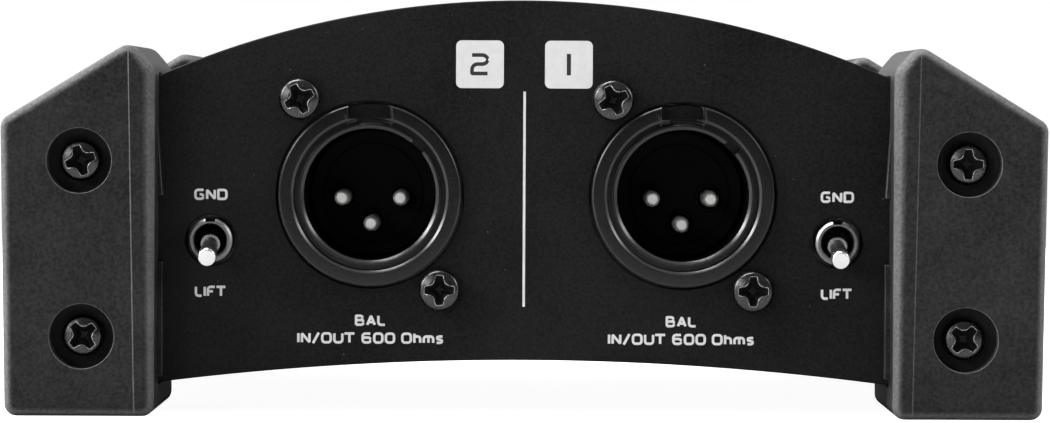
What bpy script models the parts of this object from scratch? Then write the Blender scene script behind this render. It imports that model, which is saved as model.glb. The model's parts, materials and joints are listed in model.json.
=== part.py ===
"""A two-channel passive direct injection box: an arched metal case between four rubber corner
bumpers, with two male XLR sockets and two ground-lift toggles in front and four jack sockets behind.

X runs to the right, -Y is the front with the XLR sockets, +Z is up. The origin is the centre of the
footprint, on the surface that the bumpers stand on. Channel 1 is at +X, channel 2 at -X.
"""

import math

import bmesh
import bpy
from mathutils import Matrix, Vector

MM = 0.001
GAP = 0.3 * MM          # clearance kept between pieces that touch on the real box
WELD = 0.005 * MM
ROUND = 24              # sides of a large round piece
SMALL_ROUND = 12        # sides of a screw or a lead

# Driving dimensions of the case. The arch is one arc above and a flatter one below.
DEPTH = 132 * MM
TOP_RADIUS = 121 * MM
TOP_CROWN = 54.9 * MM
BOTTOM_RADIUS = 376 * MM
BOTTOM_CROWN = 7.2 * MM
CASE_HALF_WIDTH = 63.6 * MM
LEAN = 0.016            # how far the sides lean out, per unit of height
CASE_WALL = 2.0 * MM
CASE_CORNER = 3.0 * MM

# Bumpers: one rubber block on each corner of the case
BUMPER_LENGTH = 32 * MM
BUMPER_OUTER = 68.05 * MM
BUMPER_SHOULDER = 38.75 * MM
BUMPER_APEX = (51.5 * MM, 49.25 * MM)
BUMPER_INNER = 48.4 * MM
BUMPER_INNER_TOP = 45.6 * MM
BUMPER_EDGE = 1.4 * MM
LIP = 0.65 * MM
LIP_DEPTH = 2.0 * MM
LIP_NOTCH = (20.1 * MM, 28.9 * MM)
LIP_SPAN = (5.0 * MM, 44.0 * MM)

# Panels stand back from the bumpers' faces
PANEL_RECESS = 8 * MM
PANEL_THICKNESS = 1.5 * MM
PANEL_FACE = DEPTH / 2 - PANEL_RECESS
PANEL_BACK = PANEL_FACE - PANEL_THICKNESS
SHELL_END = PANEL_BACK - GAP

# Bumper screws run through bumper and panel into the case's screw ports
SCREW_HEIGHTS = {"upper": 33.5 * MM, "lower": 10.5 * MM}
SCREW_X = 57.7 * MM
PORT_RADIUS = 2.9 * MM
SCREW_RADIUS = 1.5 * MM
SCREW_HEAD = 2.55 * MM
COUNTERBORE = 4.25 * MM
COUNTERBORE_DEPTH = 4.3 * MM

# XLR sockets
XLR_X = 20.75 * MM
XLR_SHIFT = 0.3 * MM     # both XLR sockets sit this far to the right of mirrored places
XLR_Z = 29.1 * MM
XLR_FLANGE = 12.1 * MM
XLR_STEP = 10.1 * MM
XLR_BORE = 8.85 * MM
XLR_PROUD = 1.0 * MM
XLR_LENGTH = 22 * MM
XLR_SCREW_OFFSET = (9.3 * MM, 12.6 * MM)
XLR_NOTCH = 5.6 * MM
PIN_RADIUS = 1.2 * MM
PIN_TIP = 4.6 * MM      # how far the pins' tips lie behind the panel's face
PIN_PLACES = {"ground": (-3.92 * MM, -0.55 * MM), "hot": (3.92 * MM, -0.55 * MM), "cold": (0, -4.0 * MM)}
INSERT_FACE = PANEL_FACE - 14 * MM
INSERT_THICKNESS = 5 * MM

# Ground-lift toggles
TOGGLE_X = 41.5 * MM
TOGGLE_Z = 22.95 * MM
BUSHING_RADIUS = 2.9 * MM
BUSHING_BORE = 2.15 * MM
BUSHING_PROUD = 1.5 * MM
PIVOT_DEPTH = 3.0 * MM
LEVER_LENGTH = 9.4 * MM
LEVER_RADIUS = 1.18 * MM
STEM_LENGTH = 10.4 * MM
THROW = math.radians(13)
TOGGLE_CASE = (7.0 * MM, 9.4 * MM, 12.8 * MM)
TOGGLE_WALL = 0.9 * MM
ROCKER_TILT = math.radians(15)

# Jack sockets at the rear
JACK_PLACES = {"link": 15 * MM, "input": 36 * MM}
JACK_Z = 25 * MM
JACK_BODY = (15 * MM, 26 * MM, 16 * MM)
JACK_THREAD = 4.4 * MM
JACK_BORE = 3.25 * MM
JACK_PROUD = 4.0 * MM
NUT_RADIUS = 6.9 * MM
NUT_THICKNESS = 2.0 * MM

# Circuit board and what it carries
BOARD_TOP = 16 * MM
BOARD_THICKNESS = 1.6 * MM
BOARD_HALF_WIDTH = 61.2 * MM
BOARD_FRONT = -51.5 * MM
BOARD_REAR = 55.5 * MM
TRANSFORMER_X = 26 * MM
TRANSFORMER_Y = -6 * MM
CORE = (28 * MM, 15 * MM, 23 * MM)
CORE_LEG = 7.5 * MM
CORE_WINDOW = (5.0 * MM, 13.5 * MM)

PARTS = "direct_injection_box"
CUTTERS = "cutters"
CHANNELS = {1: 1, 2: -1}

# name: colour, roughness, metallic
MATERIALS = {
    "black_rubber": ((0.045, 0.045, 0.047), 0.75, 0.0),
    "black_coated_metal": ((0.012, 0.013, 0.012), 0.55, 0.0),
    "black_screw_steel": ((0.10, 0.10, 0.10), 0.35, 1.0),
    "black_plastic": ((0.015, 0.015, 0.016), 0.45, 0.0),
    "nickel": ((0.62, 0.61, 0.58), 0.25, 1.0),
    "board_green": ((0.02, 0.12, 0.05), 0.5, 0.0),
    "core_steel": ((0.20, 0.20, 0.21), 0.5, 1.0),
    "coil_tape": ((0.55, 0.42, 0.08), 0.5, 0.0),
    "film_red": ((0.35, 0.04, 0.03), 0.4, 0.0),
    "resistor_blue": ((0.10, 0.22, 0.40), 0.4, 0.0),
}

# ---------------------------------------------------------------- scene helpers


def clear_scene():
    for obj in list(bpy.data.objects):
        bpy.data.objects.remove(obj)
    for name in (PARTS, CUTTERS):
        collection = bpy.data.collections.new(name)
        bpy.context.scene.collection.children.link(collection)


def make_materials():
    for name, (colour, roughness, metallic) in MATERIALS.items():
        material = bpy.data.materials.new(name)
        material.use_nodes = True
        shader = material.node_tree.nodes["Principled BSDF"]
        shader.inputs["Base Color"].default_value = (*colour, 1)
        shader.inputs["Roughness"].default_value = roughness
        shader.inputs["Metallic"].default_value = metallic


def add_object(name, data, material=None, collection=PARTS):
    obj = bpy.data.objects.new(name, data)
    bpy.data.collections[collection].objects.link(obj)
    if material:
        data.materials.append(bpy.data.materials[material])
    return obj


def bake(obj):
    """Turns a curve, or a mesh with modifiers, into a plain mesh object in the same place."""
    bpy.context.view_layer.update()
    graph = bpy.context.evaluated_depsgraph_get()
    mesh = bpy.data.meshes.new_from_object(obj.evaluated_get(graph), depsgraph=graph)
    bm = bmesh.new()
    bm.from_mesh(mesh)
    bmesh.ops.remove_doubles(bm, verts=bm.verts, dist=WELD)
    bm.to_mesh(mesh)
    bm.free()
    name, place = obj.name, obj.matrix_world.copy()
    collection = obj.users_collection[0].name
    bpy.data.objects.remove(obj)
    baked = add_object(name, mesh, collection=collection)
    baked.name = name
    baked.matrix_world = place
    return baked


def boolean(obj, other, operation="DIFFERENCE"):
    """Cuts other from obj, or joins it on, and keeps other as a hidden cutter."""
    modifier = obj.modifiers.new(other.name, "BOOLEAN")
    modifier.operation = operation
    modifier.solver = "EXACT"
    modifier.object = other
    for collection in list(other.users_collection):
        collection.objects.unlink(other)
    bpy.data.collections[CUTTERS].objects.link(other)
    other.hide_render = True
    other.display_type = "WIRE"
    return obj


def soften(obj, width, segments=1, angle=50):
    """Rounds the edges sharper than angle."""
    bevel = obj.modifiers.new("edges", "BEVEL")
    bevel.width = width
    bevel.segments = segments
    bevel.limit_method = "ANGLE"
    bevel.angle_limit = math.radians(angle)
    bevel.use_clamp_overlap = True
    return obj


# ---------------------------------------------------------------- outlines, in x and height


def circle(x, z, radius, sides=ROUND):
    turn = 2 * math.pi / sides
    return [(x + radius * math.cos(i * turn), z + radius * math.sin(i * turn)) for i in range(sides)]


def rounded(corners, steps=4):
    """A polygon's points, with each (x, z, radius) corner turned into an arc."""
    points = []
    for i, (x, z, radius) in enumerate(corners):
        if not radius:
            points.append((x, z))
            continue
        here = Vector((x, z))
        before = (Vector(corners[i - 1][:2]) - here).normalized()
        after = (Vector(corners[(i + 1) % len(corners)][:2]) - here).normalized()
        half = before.angle(after) / 2
        centre = here + (before + after).normalized() * radius / math.sin(half)
        start = here + before * radius / math.tan(half) - centre
        end = here + after * radius / math.tan(half) - centre
        sweep = math.atan2(start.x * end.y - start.y * end.x, start.dot(end))
        for step in range(steps + 1):
            arm = Matrix.Rotation(sweep * step / steps, 2) @ start
            points.append(tuple(centre + arm))
    return points


def arch(x, radius, crown):
    return crown - radius + math.sqrt(radius * radius - x * x)


def case_outline(inset=0.0, spans=14):
    """The arched outline of case and panels, moved inwards by inset."""
    corner = max(CASE_CORNER - inset, 1.0 * MM)

    def top(x):
        return arch(x, TOP_RADIUS - inset, TOP_CROWN - inset)

    def bottom(x):
        return arch(x, BOTTOM_RADIUS + inset, BOTTOM_CROWN + inset)

    def side(z):
        return CASE_HALF_WIDTH - inset + LEAN * z

    low = side(bottom(CASE_HALF_WIDTH))
    high = side(top(CASE_HALF_WIDTH))
    below = [(-low + 2 * low * i / spans) for i in range(spans + 1)]
    above = [(high - 2 * high * i / spans) for i in range(spans + 1)]
    corners = [(x, bottom(x), corner if x in (below[0], below[-1]) else 0) for x in below]
    corners += [(x, top(x), corner if x in (above[0], above[-1]) else 0) for x in above]
    return rounded(corners, 3)


def bumper_outline(side):
    shoulder = BUMPER_OUTER + LEAN * BUMPER_SHOULDER
    corners = [
        (BUMPER_OUTER, 0, 1.6 * MM),
        (shoulder, BUMPER_SHOULDER, 1.8 * MM),
        (*BUMPER_APEX, 2.1 * MM),
        (BUMPER_INNER, BUMPER_INNER_TOP, 2.5 * MM),
        (BUMPER_INNER, 0, 1.4 * MM),
    ]
    return [(side * x, z) for x, z in rounded(corners)]


def screw_x(height):
    return SCREW_X + LEAN * height


# ---------------------------------------------------------------- basic solids


def plate(name, loops, y_from, y_to, material=None):
    """A flat outline, with holes if loops has more than one, that fills y_from to y_to."""
    curve = bpy.data.curves.new(name, "CURVE")
    curve.dimensions = "2D"
    curve.fill_mode = "BOTH"
    curve.extrude = abs(y_to - y_from) / 2
    for loop in loops:
        spline = curve.splines.new("POLY")
        spline.points.add(len(loop) - 1)
        for point, (x, z) in zip(spline.points, loop):
            point.co = (x, z, 0, 1)
        spline.use_cyclic_u = True
    obj = add_object(name, curve, material)
    obj.rotation_euler = (math.pi / 2, 0, 0)
    obj.location = (0, (y_from + y_to) / 2, 0)
    return bake(obj)


def turned(name, profile, place, material=None, steps=ROUND, closed=False, rear=False):
    """A profile of (radius, height) turned about Y at place. Height points out of the front, or of
    the rear. The profile runs down its outer side, and back up its bore if closed."""
    bm = bmesh.new()
    points = [bm.verts.new((radius, 0, height)) for radius, height in profile]
    for a, b in zip(points, points[1:]):
        bm.edges.new((a, b))
    if closed:
        bm.edges.new((points[-1], points[0]))
    mesh = bpy.data.meshes.new(name)
    bm.to_mesh(mesh)
    bm.free()
    obj = add_object(name, mesh, material)
    screw = obj.modifiers.new("turn", "SCREW")
    screw.steps = screw.render_steps = steps
    screw.use_merge_vertices = True
    screw.merge_threshold = WELD
    obj.rotation_euler = (math.pi / 2, 0, math.pi if rear else 0)
    obj.location = place
    return bake(obj)


def block(name, size, centre, material=None):
    bm = bmesh.new()
    bmesh.ops.create_cube(bm, size=1, matrix=Matrix.Diagonal((*size, 1)))
    mesh = bpy.data.meshes.new(name)
    bm.to_mesh(mesh)
    bm.free()
    obj = add_object(name, mesh, material)
    obj.location = centre
    return obj


def rod(name, radius, y_from, y_to, x, z, sides=SMALL_ROUND):
    """A plain cylinder along Y, used to cut holes."""
    return plate(name, [circle(x, z, radius, sides)], y_from, y_to)


def lead(name, points, radii, material, resolution=2):
    """A round wire along points, as thick as radii says at each of them."""
    curve = bpy.data.curves.new(name, "CURVE")
    curve.dimensions = "3D"
    curve.bevel_depth = MM
    curve.bevel_resolution = resolution
    curve.use_fill_caps = True
    spline = curve.splines.new("POLY")
    spline.points.add(len(points) - 1)
    for point, place, radius in zip(spline.points, points, radii):
        point.co = (*place, 1)
        point.radius = radius / MM
    return bake(add_object(name, curve, material))


# ---------------------------------------------------------------- case


def make_shell():
    loops = [case_outline(), case_outline(CASE_WALL)]
    shell = plate("housing_shell", loops, -SHELL_END, SHELL_END, "black_coated_metal")
    for side in (-1, 1):
        for level, height in SCREW_HEIGHTS.items():
            x = side * screw_x(height)
            tag = f"{level}_{side}"
            wall = side * (CASE_HALF_WIDTH + LEAN * height - CASE_WALL / 2)
            boss = plate("port_" + tag, [circle(x, height, PORT_RADIUS, 16)], -SHELL_END, SHELL_END)
            web_size = (abs(wall - x), 2 * SHELL_END, PORT_RADIUS)
            web = block("web_" + tag, web_size, ((x + wall) / 2, 0, height))
            boolean(shell, boss, "UNION")
            boolean(shell, web, "UNION")
            bore = rod("bore_" + tag, SCREW_RADIUS + GAP, -DEPTH, DEPTH, x, height)
            boolean(shell, bore)
            slit_size = (PORT_RADIUS * 1.5, 2 * DEPTH, 1.4 * MM)
            slit = block("slit_" + tag, slit_size, (x - side * PORT_RADIUS, 0, height))
            boolean(shell, slit)
        rail_x = side * (CASE_HALF_WIDTH - CASE_WALL - 0.8 * MM)
        for number, z in enumerate((BOARD_TOP + 0.9 * MM, BOARD_TOP - BOARD_THICKNESS - 0.8 * MM)):
            rail = block(f"rail_{number}_{side}", (4 * MM, 2 * SHELL_END, 0.9 * MM), (rail_x, 0, z))
            boolean(shell, rail, "UNION")
    return bake(shell)


def make_panel(name, face_side, holes):
    loops = [case_outline()] + holes
    for side in (-1, 1):
        for height in SCREW_HEIGHTS.values():
            loops.append(circle(side * screw_x(height), height, SCREW_RADIUS + GAP, SMALL_ROUND))
    plate(name, loops, face_side * PANEL_BACK, face_side * PANEL_FACE, "black_coated_metal")


def front_holes():
    holes = []
    for side in CHANNELS.values():
        x = side * XLR_X + XLR_SHIFT
        dx, dz = XLR_SCREW_OFFSET
        holes.append(circle(x, XLR_Z, XLR_FLANGE + GAP, 32))
        holes.append(circle(x - dx, XLR_Z + dz, 1.6 * MM, SMALL_ROUND))
        holes.append(circle(x + dx, XLR_Z - dz, 1.6 * MM, SMALL_ROUND))
        holes.append(circle(side * TOGGLE_X, TOGGLE_Z, BUSHING_RADIUS + 0.45 * MM, 16))
    return holes


def rear_holes():
    places = [side * x for side in CHANNELS.values() for x in JACK_PLACES.values()]
    return [circle(x, JACK_Z, JACK_THREAD + GAP, 20) for x in places]


def make_bumper(name, side, end):
    """side is -1 for left and 1 for right, end is -1 for the front and 1 for the rear."""
    face = end * DEPTH / 2
    inner_end = end * (DEPTH / 2 - BUMPER_LENGTH)
    bumper = plate(name, [bumper_outline(side)], face, inner_end, "black_rubber")
    soften(bumper, BUMPER_EDGE, 2)
    pocket = plate("pocket_" + name, [case_outline(-GAP)], end * (PANEL_FACE + GAP), inner_end - end * 5 * MM)
    boolean(bumper, pocket)
    seat = face - end * COUNTERBORE_DEPTH
    for level, height in SCREW_HEIGHTS.items():
        x = side * screw_x(height)
        tag = f"{level}_{name}"
        boolean(bumper, rod("counterbore_" + tag, COUNTERBORE, face + end * MM, seat, x, height, 20))
        boolean(bumper, rod("clearance_" + tag, SCREW_RADIUS + GAP, face, end * (PANEL_FACE - MM), x, height))
    inner, edge = BUMPER_INNER + 0.4 * MM, BUMPER_INNER - LIP
    lips = {
        "low": [(inner, LIP_SPAN[0]), (inner, LIP_NOTCH[0]), (edge, LIP_NOTCH[0]), (edge, LIP_SPAN[0])],
        "high": [(inner, LIP_NOTCH[1]), (inner, LIP_SPAN[1]), (edge, LIP_NOTCH[1])],
    }
    for level, outline in lips.items():
        lip_from = end * (PANEL_FACE + GAP)
        loop = [(side * x, z) for x, z in outline]
        lip = plate(f"lip_{level}_{name}", [loop], lip_from, lip_from + end * LIP_DEPTH)
        boolean(bumper, lip, "UNION")
    bake(bumper)


# ---------------------------------------------------------------- screws


def make_screw(name, head, length, shaft, place, rear=False, turn=0.0):
    """A pan-head cross-recess screw whose head's underside is at place."""
    dome = head * 0.8
    profile = [
        (0, dome),
        (head * 0.5, dome * 0.93),
        (head * 0.85, dome * 0.66),
        (head, dome * 0.25),
        (head, 0),
        (shaft, 0),
        (shaft, -length + shaft * 0.6),
        (shaft * 0.5, -length),
        (0, -length),
    ]
    screw = turned(name, profile, place, "black_screw_steel", SMALL_ROUND, rear=rear)
    for number in range(2):
        wing = block(f"recess_{number}_{name}", (head * 1.15, head * 0.36, dome * 1.3), (0, 0, 0))
        wing.matrix_world = (
            screw.matrix_world
            @ Matrix.Translation((0, 0, dome))
            @ Matrix.Rotation(turn + number * math.pi / 2, 4, "Z")
        )
        boolean(screw, wing)
    return bake(screw)


def make_bumper_screws():
    length = 15 * MM
    seat = DEPTH / 2 - COUNTERBORE_DEPTH + GAP
    turns = {"upper": 0.3, "lower": 0.8}
    for end_name, end in (("front", -1), ("rear", 1)):
        for side_name, side in (("left", -1), ("right", 1)):
            for level, height in SCREW_HEIGHTS.items():
                name = f"bumper_screw_{end_name}_{side_name}_{level}"
                place = (side * screw_x(height), end * seat, height)
                make_screw(name, SCREW_HEAD, length, SCREW_RADIUS, place, end == 1, turns[level])


# ---------------------------------------------------------------- XLR sockets


def make_xlr(channel, side):
    x = side * XLR_X + XLR_SHIFT
    front = -PANEL_FACE
    place = (x, front, XLR_Z)
    back = -XLR_LENGTH
    rim = XLR_BORE + 0.55 * MM
    step = 0.15 * MM
    profile = [
        (XLR_FLANGE - 0.5 * MM, XLR_PROUD),
        (XLR_FLANGE, XLR_PROUD - 0.5 * MM),
        (XLR_FLANGE, -PANEL_THICKNESS - GAP),
        (XLR_FLANGE - 1.2 * MM, -PANEL_THICKNESS - 3 * MM),
        (XLR_FLANGE - 1.2 * MM, back),
        (XLR_BORE, back),
        (XLR_BORE, XLR_PROUD - 0.45 * MM),
        (rim, XLR_PROUD - 0.45 * MM),
        (rim, step - XLR_PROUD),
        (XLR_STEP, step - XLR_PROUD),
        (XLR_STEP, XLR_PROUD),
    ]
    shell = turned(f"xlr_shell_{channel}", profile, place, "black_plastic", ROUND, closed=True)
    plate_front = front + PANEL_THICKNESS + GAP
    plate_back = plate_front + 2.4 * MM
    dx, dz = XLR_SCREW_OFFSET
    ear = 3.1 * MM
    flange_loop = rounded(
        [
            (x - dx - ear, XLR_Z + dz + ear, ear),
            (x - dx - ear, XLR_Z - 6 * MM, 4 * MM),
            (x - 6 * MM, XLR_Z - dz - ear, 4 * MM),
            (x + dx + ear, XLR_Z - dz - ear, ear),
            (x + dx + ear, XLR_Z + 6 * MM, 4 * MM),
            (x + 6 * MM, XLR_Z + dz + ear, 4 * MM),
        ],
        3,
    )
    ear_holes = [
        circle(x - dx, XLR_Z + dz, 1.6 * MM, SMALL_ROUND),
        circle(x + dx, XLR_Z - dz, 1.6 * MM, SMALL_ROUND),
    ]
    collar = circle(x, XLR_Z, XLR_STEP, ROUND)
    ears = plate(f"ears_{channel}", [flange_loop, collar] + ear_holes, plate_front, plate_back)
    boolean(shell, ears, "UNION")
    notch = block(
        f"notch_{channel}",
        (XLR_NOTCH, 2.2 * MM, 3 * MM),
        (x, front - XLR_PROUD, XLR_Z + XLR_STEP + 1.4 * MM),
    )
    boolean(shell, notch)
    key = block(f"key_{channel}", (2.4 * MM, 6 * MM, 1.6 * MM), (0, 0, 0))
    key_arm = (XLR_BORE + 0.3 * MM) * math.sqrt(0.5)
    key.rotation_euler = (0, -math.pi / 4, 0)
    key.location = (x + key_arm, front, XLR_Z + key_arm)
    boolean(shell, key)
    bake(shell)

    insert_loops = [circle(x, XLR_Z, XLR_BORE - GAP, ROUND)]
    for px, pz in PIN_PLACES.values():
        insert_loops.append(circle(x + px, XLR_Z + pz, PIN_RADIUS + GAP, SMALL_ROUND))
    insert_y = -INSERT_FACE
    plate(f"xlr_insert_{channel}", insert_loops, insert_y, insert_y + INSERT_THICKNESS, "black_plastic")

    for pin, (px, pz) in PIN_PLACES.items():
        make_pin(f"xlr_pin_{pin}_{channel}", x + px, XLR_Z + pz, tail_y(pin))

    for level, sign in (("upper", -1), ("lower", 1)):
        spot = (x + sign * dx, front - GAP, XLR_Z - sign * dz)
        turn = {"upper": 0.45, "lower": 0.0}[level] + 0.2 * (channel - 1)
        make_screw(f"xlr_screw_{level}_{channel}", 2.6 * MM, 6 * MM, 1.25 * MM, spot, turn=turn)


def tail_y(pin):
    """Where a pin's solder tail turns down, behind the socket's shell."""
    return -PANEL_FACE + XLR_LENGTH + {"ground": 2.0, "hot": 2.0, "cold": 3.6}[pin] * MM


def make_pin(name, x, z, down_y):
    tip = -PANEL_FACE + PIN_TIP
    body_end = -INSERT_FACE + INSERT_THICKNESS + 0.8 * MM
    tail = 0.5 * MM
    ys = [tip, tip + 0.25 * MM, tip + 0.8 * MM, body_end, body_end + 0.3 * MM]
    radii = [PIN_RADIUS * 0.45, PIN_RADIUS * 0.8, PIN_RADIUS, PIN_RADIUS, tail]
    points = [(x, y, z) for y in ys]
    points += [(x, down_y - 0.6 * MM, z), (x, down_y, z - 0.6 * MM), (x, down_y, BOARD_TOP - 3.2 * MM)]
    lead(name, points, radii + [tail] * 3, "nickel")


# ---------------------------------------------------------------- toggles


def make_toggle(channel, side):
    x = side * TOGGLE_X
    mouth = -PANEL_FACE - BUSHING_PROUD
    pivot_y = mouth + PIVOT_DEPTH
    width, depth, height = TOGGLE_CASE
    frame_y = -PANEL_FACE + 6.0 * MM

    profile = [
        (BUSHING_RADIUS - 0.3 * MM, -mouth),
        (BUSHING_RADIUS, -mouth - 0.3 * MM),
        (BUSHING_RADIUS, -frame_y),
        (BUSHING_BORE, -frame_y),
        (BUSHING_BORE, -mouth),
    ]
    bushing = turned(f"toggle_bushing_{channel}", profile, (x, 0, TOGGLE_Z), "nickel", ROUND, closed=True)
    frame_loop = rounded(
        [
            (x - width / 2, TOGGLE_Z - height / 2, 0.5 * MM),
            (x + width / 2, TOGGLE_Z - height / 2, 0.5 * MM),
            (x + width / 2, TOGGLE_Z + height / 2, 0.5 * MM),
            (x - width / 2, TOGGLE_Z + height / 2, 0.5 * MM),
        ],
        1,
    )
    frame_plate = plate(
        f"toggle_frame_{channel}",
        [frame_loop, circle(x, TOGGLE_Z, BUSHING_BORE + 0.2 * MM)],
        frame_y - 0.5 * MM,
        frame_y + 0.4 * MM,
    )
    boolean(bushing, frame_plate, "UNION")
    keyway_place = (x, mouth, TOGGLE_Z + BUSHING_RADIUS + 0.1 * MM)
    keyway = block(f"keyway_{channel}", (1.1 * MM, 6 * MM, 1.0 * MM), keyway_place)
    boolean(bushing, keyway)
    bake(bushing)

    case_front = frame_y + 0.4 * MM + GAP
    case_mid = case_front + depth / 2
    case = block(f"toggle_case_{channel}", TOGGLE_CASE, (x, case_mid, TOGGLE_Z), "black_plastic")
    hollow_size = (width - 2 * TOGGLE_WALL, depth, height - 2 * TOGGLE_WALL)
    hollow = block(f"case_hollow_{channel}", hollow_size, (x, case_mid - TOGGLE_WALL, TOGGLE_Z))
    boolean(case, hollow)
    case_back = case_front + depth
    exits = {"upper": 4.2 * MM, "common": 0.0, "lower": -4.2 * MM}
    for name, rise in exits.items():
        z = TOGGLE_Z + rise
        hole = rod(f"exit_{name}_{channel}", 0.65 * MM, case_back - 2 * MM, case_back + MM, x, z, 8)
        boolean(case, hole)
    bake(case)

    for number, (name, rise) in enumerate(exits.items()):
        down = case_back + (6.6 - 2.4 * number) * MM
        z = TOGGLE_Z + rise
        contact = case_back - TOGGLE_WALL - (0.5 if name == "common" else 0.3) * MM
        points = [
            (x, contact, z),
            (x, down - 0.5 * MM, z),
            (x, down, z - 0.5 * MM),
            (x, down, BOARD_TOP - 3.2 * MM),
        ]
        lead(f"toggle_terminal_{name}_{channel}", points, [0.35 * MM] * 4, "nickel", 1)

    make_lever(channel, x, pivot_y)
    make_rocker(channel, x, case_back - TOGGLE_WALL - 2.2 * MM)


def make_lever(channel, x, pivot_y):
    """The bat lever. Its origin is the pivot inside the bushing, and it rests tipped down."""
    tip = LEVER_LENGTH
    ball = 1.85 * MM
    neck = 0.98 * MM
    profile = [
        (0, tip),
        (LEVER_RADIUS * 0.55, tip - 0.08 * MM),
        (LEVER_RADIUS * 0.9, tip - 0.35 * MM),
        (LEVER_RADIUS, tip - 0.9 * MM),
        (neck, 3.4 * MM),
        (neck, ball * 0.85),
        (ball * 0.8, ball * 0.6),
        (ball, 0),
        (ball * 0.8, -ball * 0.6),
        (0.8 * MM, -ball * 0.9),
        (0.8 * MM, -STEM_LENGTH + 0.3 * MM),
        (0.5 * MM, -STEM_LENGTH),
        (0, -STEM_LENGTH),
    ]
    lever = turned(f"toggle_lever_{channel}", profile, (0, 0, 0), "nickel", 16)
    lever.rotation_euler = (math.pi / 2 + THROW, 0, 0)
    lever.location = (x, pivot_y, TOGGLE_Z)


def make_rocker(channel, x, fulcrum_y):
    """The contact blade that teeters on the common terminal. Its origin is the fulcrum."""
    half, rise, thick = 4.4 * MM, 0.7 * MM, 0.5 * MM
    rocker = block(f"toggle_rocker_{channel}", (2.4 * MM, thick, 2 * half), (0, 0, 0), "nickel")
    cradle = block(f"cradle_{channel}", (2.4 * MM, rise, 2.6 * MM), (0, -rise / 2, 0))
    cradle.matrix_world = Matrix.Translation((x, fulcrum_y - rise / 2, TOGGLE_Z)) @ Matrix.Rotation(
        -ROCKER_TILT, 4, "X"
    )
    rocker.rotation_euler = (-ROCKER_TILT, 0, 0)
    rocker.location = (x, fulcrum_y, TOGGLE_Z)
    boolean(rocker, cradle, "UNION")
    bake(rocker)


# ---------------------------------------------------------------- jacks


def make_jack(name, x):
    width, depth, height = JACK_BODY
    front = PANEL_BACK - GAP
    base = BOARD_TOP + GAP
    body = block(f"jack_{name}", JACK_BODY, (x, front - depth / 2, base + height / 2), "black_plastic")
    soften(body, 0.5 * MM, 1)
    tip = PANEL_FACE + JACK_PROUD
    thread = plate(f"thread_{name}", [circle(x, JACK_Z, JACK_THREAD)], front - 2 * MM, tip)
    boolean(body, thread, "UNION")
    bore = rod(f"jack_bore_{name}", JACK_BORE, front - depth + 2 * MM, DEPTH, x, JACK_Z, 20)
    boolean(body, bore)
    bake(body)

    nut_from = PANEL_FACE + GAP
    nut = plate(
        f"jack_nut_{name}",
        [circle(x, JACK_Z, NUT_RADIUS, 6), circle(x, JACK_Z, JACK_THREAD + GAP, 20)],
        nut_from,
        nut_from + NUT_THICKNESS,
        "nickel",
    )
    return nut


# ---------------------------------------------------------------- board


def board_holes():
    """Solder holes for the socket pins and the toggles' terminals."""
    holes = []
    case_back = -PANEL_FACE + 6.4 * MM + GAP + TOGGLE_CASE[1]
    for side in CHANNELS.values():
        for pin, (px, _) in PIN_PLACES.items():
            holes.append((side * XLR_X + XLR_SHIFT + px, tail_y(pin), 0.85 * MM))
        for number in range(3):
            holes.append((side * TOGGLE_X, case_back + (6.6 - 2.4 * number) * MM, 0.7 * MM))
    return holes


def make_board():
    """A flat outline in x and y, so it is laid down after the plate is made."""
    edge = [
        (-BOARD_HALF_WIDTH, BOARD_FRONT),
        (BOARD_HALF_WIDTH, BOARD_FRONT),
        (BOARD_HALF_WIDTH, BOARD_REAR),
        (-BOARD_HALF_WIDTH, BOARD_REAR),
    ]
    loops = [edge] + [circle(x, y, radius, 8) for x, y, radius in board_holes()]
    board = plate("circuit_board", loops, 0, BOARD_THICKNESS, "board_green")
    board.rotation_euler = (0, 0, 0)
    board.location = (0, 0, BOARD_TOP - BOARD_THICKNESS / 2)


def make_transformer(channel, side):
    width, depth, height = CORE
    x, y = side * TRANSFORMER_X, TRANSFORMER_Y
    base = BOARD_TOP + GAP
    mid = base + height / 2
    window_w, window_h = CORE_WINDOW

    def frame(cx, w, h):
        return [
            (cx - w / 2, mid - h / 2),
            (cx + w / 2, mid - h / 2),
            (cx + w / 2, mid + h / 2),
            (cx - w / 2, mid + h / 2),
        ]

    offset = (CORE_LEG + window_w) / 2
    loops = [frame(x, width, height)]
    loops += [frame(x + turn * offset, window_w, window_h) for turn in (-1, 1)]
    plate(f"transformer_core_{channel}", loops, y - depth / 2, y + depth / 2, "core_steel")

    thick = window_w - 2 * GAP
    outer = (CORE_LEG + 2 * GAP + 2 * thick, depth + 2 * GAP + 2 * thick, window_h - 2 * GAP)
    coil = block(f"transformer_coil_{channel}", outer, (x, y, mid), "coil_tape")
    opening = (CORE_LEG + 2 * GAP, depth + 2 * GAP, height * 2)
    boolean(coil, block(f"coil_opening_{channel}", opening, (x, y, mid)))
    bake(coil)


def make_lift_parts(channel, side):
    """The resistor and capacitor that bridge the ground when it is lifted."""
    base = BOARD_TOP + GAP
    x = side * 46 * MM
    size = (4 * MM, 10 * MM, 8 * MM)
    capacitor = block(f"lift_capacitor_{channel}", size, (x, -14 * MM, base + size[2] / 2), "film_red")
    soften(capacitor, 0.5 * MM, 1)
    y, z = 2 * MM, base + 1.5 * MM
    wire, body = 0.3 * MM, 1.1 * MM
    steps = [(-5.2, wire), (-3.3, wire), (-3.2, body), (3.2, body), (3.3, wire), (5.2, wire)]
    points = [(x + dx * MM, y, z) for dx, _ in steps]
    radii = [radius for _, radius in steps]
    points = [(x - 5.6 * MM, y, base)] + points + [(x + 5.6 * MM, y, base)]
    lead(f"lift_resistor_{channel}", points, [wire] + radii + [wire], "resistor_blue", 2)


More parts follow.
